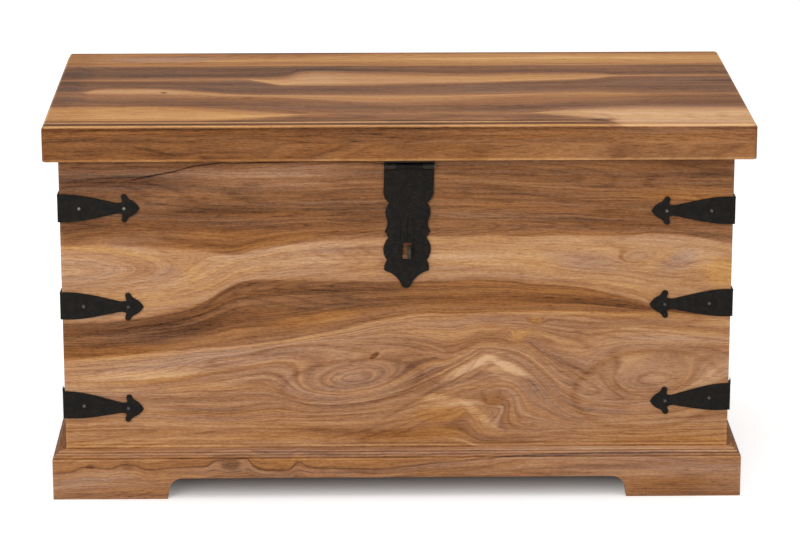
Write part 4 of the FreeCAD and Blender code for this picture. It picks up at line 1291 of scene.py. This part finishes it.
@dataclass
class Plinth:
    """The moulded plinth and the glue blocks in its corners. Lengths are millimetres."""

    groups: TimberGroups
    ledge: float = 54.0
    top: float = 63.2

    def lines(self, hollow: float = 0.03) -> tuple[Line, ...]:
        """Painted shade in the moulding's quirks and painted highlights on its fillets and ledge.

        Args:
            hollow: tone over the whole moulding; on the side boards it is negative, as painted shade.

        Returns:
            The lines.
        """
        middle, half = (self.ledge + self.top) / 2, (self.top - self.ledge) / 2
        # Negative quirks are painted shade in the moulding's hollows; positive ones are painted highlights on
        # its fillets and ledge.
        quirks = ((hollow, middle + 0.5, half + 0.6, 0.5), (-0.22, self.ledge + 1.1, 0.9, 0.5),
                  (0.14, self.ledge - 1.0, 0.8, 0.6), (-0.16, self.ledge + 4.4, 0.7, 0.5),
                  (0.12, self.ledge + 6.0, 0.7, 0.5), (-0.20, self.top - 2.2, 0.6, 0.4),
                  (0.18, self.top - 0.7, 0.8, 0.4))
        return tuple(Line.level(*quirk) for quirk in quirks)

    def front(self) -> FlowTimber:
        """The front board's figure, with its wavy dark line.

        Returns:
            The board's timber.
        """
        wave = ((-460, 34), (-425, 37), (-407, 43), (-380, 41), (-350, 47), (-320, 41), (-295, 43),
                (-255, 43), (-235, 51), (-200, 53), (-190, 43), (-165, 37), (-145, 37), (-130, 48),
                (-120, 42), (-95, 39), (-45, 39), (5, 42), (55, 47), (105, 51), (170, 57), (460, 60))
        return FlowTimber(
            Lay.FRONT, tone=0.0, seed=101.0, face=-220.0, shear=0.6, reach=(-40.0, 100.0),
            flows=(((-460, -14), (460, -14)), ((-460, 14), (-300, 18), (0, 24), (460, 22)), wave,
                   tuple((x, z + 1.6) for x, z in wave), ((-460, 82), (460, 82))),
            layers=(Layer(28, 0.54, 0.56, -0.1, 1.2), Layer(26, 0.58, 0.54, -0.25, 1.2),
                    Layer(3, 0.24, 0.26, -0.4), Layer(28, 0.58, 0.56, 0.5, 1.1)),
            ovals=(Oval(-218, 43, 15, 8, 0, lift=14, shade=-0.14, hue=-0.3),
                   Oval(-352, 44, 8, 4, 0, shade=-0.16), Oval(-400, 45, 5, 3, 0, shade=-0.2),
                   Oval(-120, 45, 22, 7, 0, lift=10),
                   Oval(330, 34, 150, 26, 0, shade=0.08, hue=-0.1, edge=0.7),
                   Oval(150, 47, 110, 8, 0, shade=0.12, edge=0.7),
                   Oval(240, 29, 60, 6, 0, shade=-0.12, edge=0.7),
                   Oval(0, 66, 520, 10, 0, hue=-1.0, edge=0.2),
                   Oval(330, 66, 180, 10, 0, shade=0.07, edge=0.3),
                   Oval(345, 14, 60, 9, 0, shade=-0.08, hue=0.8, edge=0.7),
                   Oval(-360, 26, 130, 22, 4, shade=0.10, hue=0.3, edge=0.7),
                   Oval(-395, 30, 45, 9, 8, shade=0.06, hue=-0.6, edge=0.7)),
            lines=self.lines())

    def build(self) -> None:
        """Dresses the plinth boards and the blocks."""
        self.front().dress("plinth_front", self.groups)
        for index, side in enumerate(("back", "left", "right")):
            lay = Lay.FRONT if side == "back" else Lay.SIDE
            # The side boards' mouldings are darkened as painted shade.
            Timber(lay, tone=0.44, hue=0.5, seed=120.0 + 9 * index, pith_across=70, pith_depth=-200,
                   wander=50, lines=self.lines(-0.08)).dress(f"plinth_{side}", self.groups)
        for index, corner in enumerate(Corner):
            Timber(Lay.UPRIGHT, tone=0.55, seed=150.0 + 3 * index, roughness_shift=0.25, wander=25).dress(
                f"foot_block_{corner.label}", self.groups)


@dataclass
class Lid:
    """The lid's boards and the rails under their edges. Lengths are millimetres."""

    groups: TimberGroups
    top: float = 496.0
    foot: float = 450.0
    front_edge: float = -225.0

    def lines(self) -> tuple[Line, ...]:
        """A painted highlight on the lip and a painted shadow line under it, all round the lid."""
        return (Line.level(0.34, self.top - 1.5, 0.9, 0.4), Line.level(-0.12, self.top - 5.0, 1.9, 0.8))

    def front_lines(self) -> tuple[Line, ...]:
        """Pale and dark streaks along the front edge of the top, which fade out to the right; the first, on
        the edge itself, is a painted highlight.

        Returns:
            The lines.
        """
        stretch = Band("X", -250.0, 500.0, 60.0)
        skin = Band("Z", self.top, 1.0, 0.5)
        # The first streak, on the edge itself, is a painted highlight.
        streaks = ((2.4, 2.0, 0.36), (10.5, 2.8, -0.22), (19.5, 2.6, 0.46), (27.0, 2.4, -0.16),
                   (35.0, 1.6, 0.10))
        return tuple(Line(shade, (Band("Y", self.front_edge + back, half, 1.0), skin, stretch))
                     for back, half, shade in streaks)

    def boards(self) -> tuple[FlowTimber, ...]:
        """Figures of the four boards, front to back.

        Returns:
            The boards' timbers.
        """
        common = {"lay": Lay.TOP, "tone": -0.03, "hue": 0.5, "face": self.top, "shear": 0.9,
                  "reach": (-270.0, 250.0), "blur": 10.0}
        front = FlowTimber(
            seed=201.0, **common,
            flows=(((-460, -256), (460, -256)), ((-460, -207), (255, -207), (278, -228), (460, -229)),
                   ((-460, -202), (-300, -197), (-230, -190), (-150, -173), (-122, -160), (0, -158),
                    (165, -158), (210, -175), (250, -190), (262, -199), (282, -226), (460, -227)),
                   ((-460, -110), (-350, -105), (-280, -115), (-220, -130), (-160, -149), (-125, -158),
                    (0, -157), (165, -156), (200, -142), (250, -133), (320, -126), (460, -128)),
                   ((-460, -98), (460, -98))),
            layers=(Layer(46, 0.34, 0.38, 0.2), Layer(30, 0.40, 0.38, -0.15, 1.2),
                    Layer(46, 0.81, 0.80, 0.0, 0.9), Layer(40, 0.37, 0.36, -0.45, 1.2)),
            ovals=(Oval(-340, -152, 170, 56, 0, hue=0.7, edge=0.4),
                   Oval(365, -175, 150, 60, 0, shade=0.10, hue=-0.5, edge=0.4),
                   Oval(300, -246, 270, 20, 0, shade=0.15, hue=-0.2, edge=0.5),
                   Oval(340, -190, 100, 14, 0, shade=0.08), Oval(258, -196, 16, 9, 0, lift=10, shade=-0.3),
                   Oval(215, -203, 50, 6, -6, shade=-0.14, edge=0.7),
                   Oval(-430, -150, 40, 60, 0, shade=-0.08, edge=0.7)),
            lines=self.lines() + self.front_lines())
        middle_front = FlowTimber(
            seed=223.0, **common,
            flows=(((-460, -130), (460, -130)),
                   ((-460, -29), (-415, -31), (-400, -44), (-300, -50), (-200, -58), (-150, -65), (-100, -78),
                    (-50, -90), (0, -97), (50, -90), (100, -80), (150, -70), (250, -60), (310, -52),
                    (335, -49), (460, -49)),
                   ((-460, -28), (-415, -26), (-395, -12), (-370, -5), (-300, -12), (-250, -28), (-200, -42),
                    (-100, -47), (0, -48), (100, -47), (180, -40), (230, -36), (300, -42), (335, -48),
                    (460, -48)),
                   ((-460, 14), (460, 14))),
            layers=(Layer(46, 0.36, 0.50, -0.2, 1.2), Layer(34, 0.66, 0.80, 0.0, 0.9),
                    Layer(40, 0.36, 0.36, -0.6)),
            ovals=(Oval(-345, -28, 62, 17, -6, shade=0.08, hue=-0.2, edge=0.4),
                   Oval(-306, -32, 4, 5, 20, shade=-0.4),
                   Oval(400, -80, 90, 36, 0, shade=-0.10, hue=0.3, edge=0.6),
                   Oval(-438, -30, 26, 60, 0, shade=-0.12, hue=-0.4, edge=0.6),
                   Oval(-280, -76, 140, 14, -2, shade=-0.06, edge=0.7)),
            lines=self.lines())
        middle_back = FlowTimber(
            seed=241.0, **common,
            flows=(((-460, 0), (460, 0)),
                   ((-460, 47.6), (-208, 47.6), (-180, 32), (-145, 8), (-100, 6), (0, 13), (100, 19),
                    (160, 26), (210, 33), (260, 44), (295, 62), (460, 66.6)),
                   ((-460, 48), (-208, 49), (-150, 58), (-128, 88), (-95, 97), (-50, 90), (0, 85), (100, 76),
                    (200, 80), (270, 75), (300, 67), (460, 67)), ((-460, 142), (460, 142))),
            layers=(Layer(40, 0.32, 0.34, -0.5, 1.1), Layer(46, 0.82, 0.76, 0.0, 0.9),
                    Layer(46, 0.26, 0.42, -0.4, 1.0)),
            ovals=(Oval(-110, 55, 30, 40, 0, hue=-0.4, shade=0.03, edge=0.6),
                   Oval(-60, 110, 330, 9, -1, shade=-0.08, edge=0.7),
                   Oval(180, 56, 70, 16, 8, hue=0.4, edge=0.7),
                   Oval(-438, 60, 24, 80, 0, shade=-0.10, edge=0.7),
                   Oval(330, 60, 90, 40, 0, shade=0.05, edge=0.9)),
            lines=self.lines())
        back = FlowTimber(
            seed=263.0, **common,
            flows=(((-460, 126), (460, 126)), ((-460, 150), (0, 150), (460, 154)),
                   ((-460, 190), (-200, 186), (100, 192), (460, 188)), ((-460, 236), (460, 236))),
            layers=(Layer(24, 0.62, 0.70, 0.7, 1.2), Layer(38, 0.77, 0.79, 0.9, 1.2),
                    Layer(42, 0.71, 0.61, 0.8, 1.2)),
            ovals=(Oval(-320, 178, 95, 20, 0, shade=-0.02, hue=-2.0, edge=0.6),
                   Oval(-300, 180, 160, 40, 0, shade=-0.08, edge=0.6),
                   Oval(-150, 216, 110, 10, 0, shade=-0.28, edge=0.6),
                   Oval(130, 170, 110, 10, 0, shade=0.06, hue=0.6),
                   Oval(320, 172, 120, 16, 0, shade=0.08, hue=0.3, edge=0.7),
                   Oval(-100, 158, 120, 6, 0, shade=-0.08),
                   Oval(-436, 180, 30, 50, 0, shade=-0.12, edge=0.7)),
            lines=(*self.lines(),
                   # Painted shade along the back edge of the top.
                   Line(-0.24, (Band("Y", -self.front_edge - 3.0, 7.0, 3.0), Band("Z", self.top, 2.0, 0.5)))))
        return front, middle_front, middle_back, back

    def build(self) -> None:
        """Dresses the boards and the rails."""
        for index, board in enumerate(self.boards(), start=1):
            board.dress(f"lid_board_{index}", self.groups)
        plain = {"hue": 0.3, "pith_across": 430, "wander": 40}
        rails = {
            "front": Timber(Lay.FRONT, tone=0.35, hue=0.8, seed=301.0, pith_across=440, pith_depth=-310,
                            drift_across=0.01, drift_depth=0.02, wander=40,
                            lines=(Line.level(0.20, self.foot + 1.6, 1.6, 0.8),),
                            ovals=(Oval(400, 460, 240, 40, 0, shade=0.17, hue=-0.4, edge=0.7),
                                   Oval(10, 460, 170, 40, 0, shade=0.08, hue=-0.1),
                                   Oval(-390, 468, 60, 30, 0, shade=0.06, hue=-0.2, edge=0.8))),
            "back": Timber(Lay.FRONT, tone=0.42, seed=317.0, pith_depth=320, **plain),
            "left": Timber(Lay.SIDE, tone=0.42, seed=331.0, pith_depth=-520, **plain),
            "right": Timber(Lay.SIDE, tone=0.44, seed=347.0, pith_depth=520, **plain),
        }
        for side, rail in rails.items():
            rail.dress(f"lid_rail_{side}", self.groups)


@dataclass
class ForgedNail:
    """A nail's domed head with hammer facets, modelled once. Lengths are millimetres."""

    radius: float = 3.8
    height: float = 1.7
    sides: int = 14
    rings: tuple[Point, ...] = ((0.98, 0.14), (0.86, 0.50), (0.62, 0.80), (0.30, 0.96))
    dent: float = 0.12
    crown_from: float = 0.80
    crown_power: float = 1.5
    smooth_below: float = 50.0

    def head(self, name: str, seed: int) -> Piece:
        """Models one head on the XY plane.

        Args:
            name: the head's name.
            seed: sets its hammer marks.

        Returns:
            The head, its crown marked in the attribute that the nail finish reads as a painted glint.
        """
        bpy.ops.object.select_all(action="DESELECT")
        bpy.ops.mesh.primitive_circle_add(vertices=self.sides, radius=self.radius * MM, fill_type="NGON")
        head = newest()
        head.name = name
        with editing(head):
            across, up = 1.0, 0.0
            for share, rise in self.rings:
                bpy.ops.mesh.extrude_region_move(
                    TRANSFORM_OT_translate={"value": (0, 0, (rise - up) * self.height * MM)})
                bpy.ops.transform.resize(value=(share / across, share / across, 1))
                across, up = share, rise
            bpy.ops.mesh.poke(offset=(1 - up) * self.height * MM)
            bpy.ops.mesh.select_all(action="SELECT")
            bpy.ops.transform.vertex_random(offset=self.dent * MM, uniform=0.0, normal=0.0, seed=seed)
            bpy.ops.mesh.normals_make_consistent(inside=False)
        crown = head.data.attributes.new("crown", "FLOAT", "POINT")
        for vertex, mark in zip(head.data.vertices, crown.data):
            share = vertex.co.z / (self.height * MM)
            mark.value = max(0.0, (share - self.crown_from) / (1 - self.crown_from)) ** self.crown_power
            vertex.co.z = min(max(vertex.co.z, 0.0), self.height * MM)
        pick_only(head)
        bpy.ops.object.shade_smooth_by_angle(angle=math.radians(self.smooth_below))
        return head


@dataclass(frozen=True)
class StrapLevel:
    """One of the three straps at each corner: heights in millimetres, droop in degrees, and how strong the
    painted glint on each nail's crown is.
    """

    name: str
    left: float
    right: float
    droop: float
    left_shine: Point
    right_shine: Point
    left_reach: float = 0.0
    right_reach: float = 0.0


@dataclass
class CornerStraps:
    """The twelve iron straps round the corners and their nails. Lengths are millimetres."""

    ironwork: Ironwork
    length: float = 101.5
    height: float = 36.0
    neck: float = 13.6
    head_span: float = 37.6
    thickness: float = 2.6
    ease: float = 0.55
    bend_radius: float = 2.0
    bend_steps: int = 4
    outer_share: float = 0.9
    middle: float = -3.5
    half_width: float = 428.0
    half_depth: float = 203.0
    lap: float = 4.0
    cuts: tuple[float, ...] = (0.12, 0.3, 0.5, 0.68, 0.85)
    band_nail: float = 25.0
    head_nail: float = 82.0
    levels: tuple[StrapLevel, ...] = (
        StrapLevel("top", 385.2, 378.8, 0.0, (0.75, 0.8), (0.3, 0.5), right_reach=3.0),
        StrapLevel("middle", 256.65, 256.65, 1.0, (0.35, 0.2), (0.3, 0.25), left_reach=2.6, right_reach=3.0),
        StrapLevel("bottom", 124.1, 130.5, 3.6, (0.4, 0.25), (0.3, 0.3)),
    )
    nail: ForgedNail = field(default_factory=ForgedNail)

    def arm_outline(self, droop: float, length: float) -> list[Bow]:
        """Outline of one arm, from behind the corner round the leaf head and back.

        Args:
            droop: how far the arm hangs, in degrees.
            length: from the corner to the tip.

        Returns:
            The outline's corners.
        """
        cosine, sine = math.cos(math.radians(droop)), math.sin(math.radians(droop))
        corners = (
            (0.040, self.height, 0.020), (0.250, 0.925 * self.height, 0.012),
            (0.500, 0.655 * self.height, 0.0), (0.640, 0.480 * self.height, -0.030), (0.735, self.neck, 0.0),
            (0.785, 1.14 * self.neck, -0.050), (0.771, 0.79 * self.head_span, 0.420),
            (0.846, 0.82 * self.head_span, -0.070), (0.880, 0.60 * self.head_span, 0.090),
        )

        def turned(share: float, span: float, bow: float) -> Bow:
            """A corner of the drooping arm, from its share of the length and its span."""
            x, y = share * length, span / 2
            return Bow(x * cosine + y * sine, y * cosine - x * sine, bow)

        upper = [Bow(-self.lap, self.height / 2)] + [turned(share, span, bow) for share, span, bow in corners]
        bows = [0.0] + [bow for _, _, bow in corners]
        lower = [turned(share, -span, bows[index])
                 for index, (share, span, _) in reversed(list(enumerate(corners)))]
        return upper + [turned(1.0, 0.0, bows[-1])] + lower + [Bow(-self.lap, -self.height / 2)]

    def pattern(self, level: StrapLevel, reach: float) -> Piece:
        """Models one strap for the front left corner, its bend on the Z axis.

        Args:
            level: which of the three straps.
            reach: how much longer its arms are than usual.

        Returns:
            The strap.
        """
        length = self.length + reach
        arm = cut_plate("strap_pattern", [self.arm_outline(level.droop, length)], self.thickness, self.ease)
        with editing(arm):
            for share in self.cuts:
                bpy.ops.mesh.select_all(action="SELECT")
                bpy.ops.mesh.bisect(plane_co=(share * length * MM, 0, 0), plane_no=(1, 0, 0))
        arm.data.transform(Matrix.Rotation(math.radians(90), 4, "X"))
        with editing(arm):
            bpy.ops.mesh.bisect(plane_co=(0, 0, 0), plane_no=(1, -1, 0), clear_inner=True)
        other = repeat(arm, "strap_pattern_side")
        other.data.transform(Matrix(((0, 1, 0, 0), (1, 0, 0, 0), (0, 0, 1, 0), (0, 0, 0, 1))))
        other.data.flip_normals()
        strap = join([arm, other], "strap_pattern")
        with editing(strap):
            bpy.ops.mesh.remove_doubles(threshold=NEAR)
            bpy.ops.mesh.select_all(action="DESELECT")
        outer = -self.thickness * MM * self.outer_share
        for edge in strap.data.edges:
            ends = [strap.data.vertices[index].co for index in edge.vertices]
            edge.select = all(abs(spot.x - spot.y) < NEAR and spot.x < outer for spot in ends)
        with editing(strap, "EDGE"):
            bpy.ops.mesh.bevel(offset=self.bend_radius * MM, segments=self.bend_steps, affect="EDGES")
        clean(strap)
        return strap

    def build(self) -> None:
        """Models the straps and the nails and puts them round the corners."""
        turns = {Corner.FRONT_LEFT: 0, Corner.FRONT_RIGHT: 90, Corner.BACK_RIGHT: 180, Corner.BACK_LEFT: -90}
        heads: dict[Corner, list[Piece]] = {corner: [] for corner in turns}
        masters = [self.nail.head(f"nail_pattern_{seed}", seed) for seed in range(4)]
        for level in self.levels:
            straps = {-1: self.pattern(level, level.left_reach), 1: self.pattern(level, level.right_reach)}
            for corner, turn in turns.items():
                side_x, side_y = corner.value
                height = level.left if side_x < 0 else level.right
                spot = Vector((self.middle + side_x * self.half_width, side_y * self.half_depth, height))
                place = Matrix.Translation(spot * MM) @ Matrix.Rotation(math.radians(turn), 4, "Z")
                copy = repeat(straps[side_x], f"strap_{corner.label}_{level.name}")
                copy.data.transform(place)
                Ironwork.coat(copy, self.ironwork.plate)
                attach(copy, "chest")
                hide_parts(f"corner_strap_{corner.label}_{level.name}")
                log.info("forged %s", copy.name)
                heads[corner] += self.nails(place, level, side_x < 0, masters)
            for strap in straps.values():
                bpy.data.objects.remove(strap)
        for corner, parts in heads.items():
            nails = join(parts, f"nails_{corner.label}")
            Ironwork.coat(nails, self.ironwork.nail)
            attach(nails, "chest")
            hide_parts(f"strap_nails_{corner.label}")
            log.info("drove %s", nails.name)
        for master in masters:
            bpy.data.objects.remove(master)

    def nails(self, place: Matrix, level: StrapLevel, on_left: bool,
              masters: Sequence[Piece]) -> list[Piece]:
        """Copies the four nail heads of a strap into their places.

        Args:
            place: the strap's place.
            level: which of the three straps.
            on_left: whether the strap is on the chest's left.
            masters: the heads to copy.

        Returns:
            The heads in place.
        """
        heads = []
        droop = math.radians(level.droop)
        reach = level.left_reach if on_left else level.right_reach
        shine = level.left_shine if on_left else level.right_shine
        skin = -self.thickness * MM
        for index, (along, bright) in enumerate(zip((self.band_nail + reach, self.head_nail + reach), shine)):
            out, down = along * math.cos(droop) * MM, -along * math.sin(droop) * MM
            front = Matrix.Translation((out, skin, down)) @ Matrix.Rotation(math.radians(90), 4, "X")
            side = Matrix.Translation((skin, out, down)) @ Matrix.Rotation(math.radians(-90), 4, "Y")
            for turn, spot in enumerate((front, side)):
                head = repeat(masters[2 * index + turn], "nail_head")
                # The crown mark, which the nail finish paints as a glint, is scaled by this nail's shine.
                for mark in head.data.attributes["crown"].data:
                    mark.value *= bright
                head.data.transform(place @ spot)
                heads.append(head)
        return heads


@dataclass
class LidHinges:
    """The two butt hinges at the back and their nails."""

    ironwork: Ironwork

    def build(self) -> None:
        """Dresses the leaves, pins and nails."""
        for side in ("left", "right"):
            for node in (f"hinge_body_leaf_{side}", f"hinge_lid_leaf_{side}"):
                Ironwork.coat(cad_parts[node], self.ironwork.plate)
            Ironwork.coat(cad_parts[f"hinge_pin_{side}"], self.ironwork.forged)
        for node in ("hinge_nails_body", "hinge_nails_lid"):
            Ironwork.coat(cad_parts[node], self.ironwork.forged)
        log.info("dressed the lid hinges")


@dataclass
class Hasp:
    """The hasp, its bracket and pin, and the staple. Lengths are millimetres."""

    ironwork: Ironwork
    offset: float = 11.8
    width: float = 63.4
    length: float = 161.0
    shoulder: float = 5.5
    iron: float = 2.5
    ease: float = 0.5
    lean: float = 0.024
    axis_y: float = -207.6
    axis_z: float = 439.5
    knuckle_radius: float = 4.0
    knuckle_length: float = 33.6
    tuck: float = 2.0
    bore_rim: float = 2.1
    bore_depth: float = 1.5
    knuckle_sides: int = 28
    flute_sides: int = 20
    slot: Point = (11.4, 21.6)
    slot_drop: float = 112.0
    flute_width: float = 1.8
    flute_depth: float = 0.6
    flute_length: float = 30.0
    flute_pitch: float = 8.5
    flute_gap: float = 3.0
    edge: tuple[tuple[float, float, float], ...] = (
        (1.000, 0.000, 0.0), (1.000, 0.166, 0.150), (0.751, 0.278, 0.155), (0.826, 0.422, -0.110),
        (0.921, 0.518, -0.070), (0.776, 0.578, 0.186), (0.795, 0.764, 0.090), (0.902, 0.831, 0.220),
        (0.830, 0.855, -0.116), (0.190, 0.974, 0.330),
    )

    def outline(self) -> list[Bow]:
        """Outline of the hasp below its knuckle, clockwise from the upper right.

        Returns:
            The outline's corners.
        """
        drop = self.length - self.shoulder
        half = self.knuckle_length / 2
        right = [Bow(half, -self.tuck), Bow(half, -self.shoulder)]
        right += [Bow(across * self.width / 2, -(self.shoulder + down * drop), bow)
                  for across, down, bow in self.edge]
        bows = [corner.bow for corner in right]
        left = [Bow(-corner.x, corner.y, bows[index - 1] if index else 0.0)
                for index, corner in reversed(list(enumerate(right)))]
        return right + left

    def flute(self, plate: Piece) -> None:
        """Sinks three upright flutes into the plate above its slot.

        Args:
            plate: the plate, still flat, with its face up.
        """
        half = self.flute_width / 2
        radius = (half ** 2 + self.flute_depth ** 2) / (2 * self.flute_depth)
        middle = -self.slot_drop + self.slot[1] / 2 + self.flute_gap + self.flute_length / 2
        above = self.iron + radius - self.flute_depth
        for step in (-1, 0, 1):
            bpy.ops.object.select_all(action="DESELECT")
            bpy.ops.mesh.primitive_cylinder_add(
                vertices=self.flute_sides, radius=radius * MM, depth=self.flute_length * MM,
                rotation=(math.radians(90), 0, 0),
                location=Vector((step * self.flute_pitch, middle, above)) * MM)
            cutter = newest()
            bpy.ops.object.transform_apply(location=True, rotation=True, scale=True)
            pick_only(plate)
            sink = plate.modifiers.new("flute", "BOOLEAN")
            sink.object, sink.operation, sink.solver = cutter, "DIFFERENCE", "EXACT"
            bpy.ops.object.modifier_apply(modifier=sink.name)
            bpy.data.objects.remove(cutter)
        clean(plate)

    def plate(self) -> Piece:
        """Models the hasp: a scalloped plate with a slot and flutes, rolled round the pin.

        Returns:
            The hasp.
        """
        wide, high = self.slot
        middle = -self.slot_drop
        slot = [Bow(-wide / 2, middle - high / 2), Bow(wide / 2, middle - high / 2),
                Bow(wide / 2, middle + high / 2), Bow(-wide / 2, middle + high / 2)]
        plate = cut_plate("hasp", [self.outline(), slot], self.iron, self.ease)
        self.flute(plate)
        hang = Matrix.Identity(4)
        hang[0][1] = self.lean
        plate.data.transform(Matrix.Translation((0, 0, -self.knuckle_radius * MM)) @ hang)
        bpy.ops.object.select_all(action="DESELECT")
        bpy.ops.mesh.primitive_cylinder_add(vertices=self.knuckle_sides, radius=self.knuckle_radius * MM,
                                            depth=self.knuckle_length * MM, rotation=(0, math.radians(90), 0))
        knuckle = newest()
        bpy.ops.object.transform_apply(location=True, rotation=True, scale=True)
        with editing(knuckle):
            bpy.ops.mesh.select_all(action="DESELECT")
        for face in knuckle.data.polygons:
            face.select = abs(face.normal.x) > FACING
        with editing(knuckle, "FACE"):
            bpy.ops.mesh.inset(thickness=self.bore_rim * MM, depth=0)
            bpy.ops.mesh.extrude_region_shrink_fatten(
                TRANSFORM_OT_shrink_fatten={"value": -self.bore_depth * MM})
        clean(knuckle)
        hasp = join([plate, knuckle], "hasp")
        upright = Matrix.Rotation(math.radians(90), 4, "X")
        hasp.data.transform(
            Matrix.Translation((self.offset * MM, self.axis_y * MM, self.axis_z * MM)) @ upright)
        return hasp

    def build(self) -> None:
        """Models the hasp and dresses its bracket, pin, nails and staple."""
        hasp = self.plate()
        Ironwork.coat(hasp, self.ironwork.plate)
        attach(hasp, "hasp")
        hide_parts("hasp_plate")
        log.info("forged %s", hasp.name)
        # The bracket, the pin and the staple get lighter finishes that are painted highlights.
        finishes = {"hasp_bracket": self.ironwork.rubbed, "hasp_pin": self.ironwork.bright,
                    "hasp_staple": self.ironwork.worn, "hasp_bracket_nails": self.ironwork.forged}
        for node, finish in finishes.items():
            Ironwork.coat(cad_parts[node], finish)
            log.info("dressed %s", node)


@dataclass(frozen=True)
class Softbox:
    """A square soft light that points at the chest: metres and watts."""

    name: str
    place: tuple[float, float, float]
    size: float
    watts: float

    def hang(self, aim: Vector) -> None:
        """Hangs the light.

        Args:
            aim: what it points at.
        """
        place = Vector(self.place)
        bpy.ops.object.light_add(type="AREA", location=place)
        lamp = newest()
        lamp.name = self.name
        lamp.data.size, lamp.data.energy = self.size, self.watts
        lamp.rotation_euler = (aim - place).to_track_quat("-Z", "Y").to_euler()


@dataclass
class Studio:
    """The floor, the light and the camera: metres and radians, with the lens and film in millimetres."""

    eye: tuple[float, float, float] = (-0.0723, -4.1844, 1.4184)
    pitch: float = 0.27496
    yaw: float = -0.01822
    lens: float = 145.817
    film: float = 36.0
    floor_side: float = 30.0
    floor_white: float = 0.8
    middle: tuple[float, float, float] = (0.0, 0.0, 0.25)
    lamps: tuple[Softbox, ...] = (
        Softbox("overhead", (0.2, -0.9, 2.9), 2.4, 32.0),
        Softbox("front_fill", (-1.6, -3.0, 1.9), 2.0, 46.0),
    )
    sky: float = 0.62
    floor_glow: float = 0.52
    shade_half: tuple[float, float] = (0.26, 0.115)
    shade_fade: float = 0.19
    shade_glow: float = 0.0

    def floor(self) -> None:
        """Lays a white floor that keeps the chest's shadow, with painted shade beneath the chest where its
        glow fades out.
        """
        bpy.ops.object.select_all(action="DESELECT")
        bpy.ops.mesh.primitive_plane_add(size=self.floor_side, location=(0, 0, 0))
        floor = newest()
        floor.name = "studio_floor"
        material = bpy.data.materials.new("studio_white")
        material.use_nodes = True
        bench = Bench(material.node_tree)
        material.node_tree.nodes.clear()
        matt = bench.add("ShaderNodeBsdfDiffuse")
        matt.inputs["Color"].default_value = (self.floor_white,) * 3 + (1,)
        glow = bench.add("ShaderNodeEmission")
        spot = bench.parts(bench.add("ShaderNodeTexCoord").outputs["Object"])
        # Painted shade: the camera-only glow fades out beneath the chest, so the floor there is darker than
        # its cast shadow alone makes it.
        gaps = [bench.less(bench.math("ABSOLUTE", spot[axis]), half)
                for axis, half in zip("XY", self.shade_half)]
        clear = bench.span(bench.math("MAXIMUM", *gaps), 0.0, self.shade_fade, self.shade_glow,
                           self.floor_glow, smooth=True)
        bench.feed(glow.inputs["Strength"], bench.times(self.seen(bench), clear))
        both = bench.add("ShaderNodeAddShader")
        bench.feed(both.inputs[0], matt.outputs[0])
        bench.feed(both.inputs[1], glow.outputs[0])
        bench.feed(bench.add("ShaderNodeOutputMaterial").inputs["Surface"], both.outputs[0])
        floor.data.materials.append(material)

    @staticmethod
    def seen(bench: Bench) -> Socket:
        """One for rays that show the background: the camera's, reflected and refracted ones.

        Args:
            bench: the nodes of the floor or the sky.

        Returns:
            The share of such rays.
        """
        path = bench.add("ShaderNodeLightPath").outputs
        shown = bench.math("MAXIMUM", path["Is Camera Ray"], path["Is Glossy Ray"])
        return bench.math("MAXIMUM", shown, path["Is Transmission Ray"])

    def sky_light(self) -> None:
        """Lights the scene evenly, with a white background."""
        world = bpy.data.worlds.new("studio")
        bpy.context.scene.world = world
        world.use_nodes = True
        bench = Bench(world.node_tree)
        world.node_tree.nodes.clear()
        soft, white = (bench.add("ShaderNodeBackground") for _ in range(2))
        soft.inputs["Strength"].default_value = self.sky
        for sky in (soft, white):
            sky.inputs["Color"].default_value = (1, 1, 1, 1)
        mixed = bench.add("ShaderNodeMixShader")
        bench.feed(mixed.inputs[0], self.seen(bench))
        bench.feed(mixed.inputs[1], soft.outputs[0])
        bench.feed(mixed.inputs[2], white.outputs[0])
        bench.feed(bench.add("ShaderNodeOutputWorld").inputs["Surface"], mixed.outputs[0])

    def camera(self) -> None:
        """Sets the camera at the photograph's viewing angle."""
        bpy.ops.object.camera_add(location=self.eye, rotation=(math.pi / 2 - self.pitch, 0, self.yaw))
        camera = newest()
        camera.data.lens, camera.data.sensor_width = self.lens, self.film
        camera.data.sensor_fit = "HORIZONTAL"
        bpy.context.scene.camera = camera

    def build(self) -> None:
        """Sets up the floor, the light and the camera."""
        self.floor()
        self.sky_light()
        for lamp in self.lamps:
            lamp.hang(Vector(self.middle))
        self.camera()
        bpy.context.scene.view_settings.view_transform = "Standard"
        log.info("set up the studio")


def main() -> None:
    """Builds the chest's looks and the studio."""
    logging.basicConfig(level=logging.INFO, format="%(name)s: %(message)s")
    groups = TimberGroups(Palette(), Grain())
    ironwork = Ironwork()
    for part in (Carcase(groups), Plinth(groups), Lid(groups), CornerStraps(ironwork), LidHinges(ironwork),
                 Hasp(ironwork), Studio()):
        part.build()


if __name__ == "__main__":
    main()
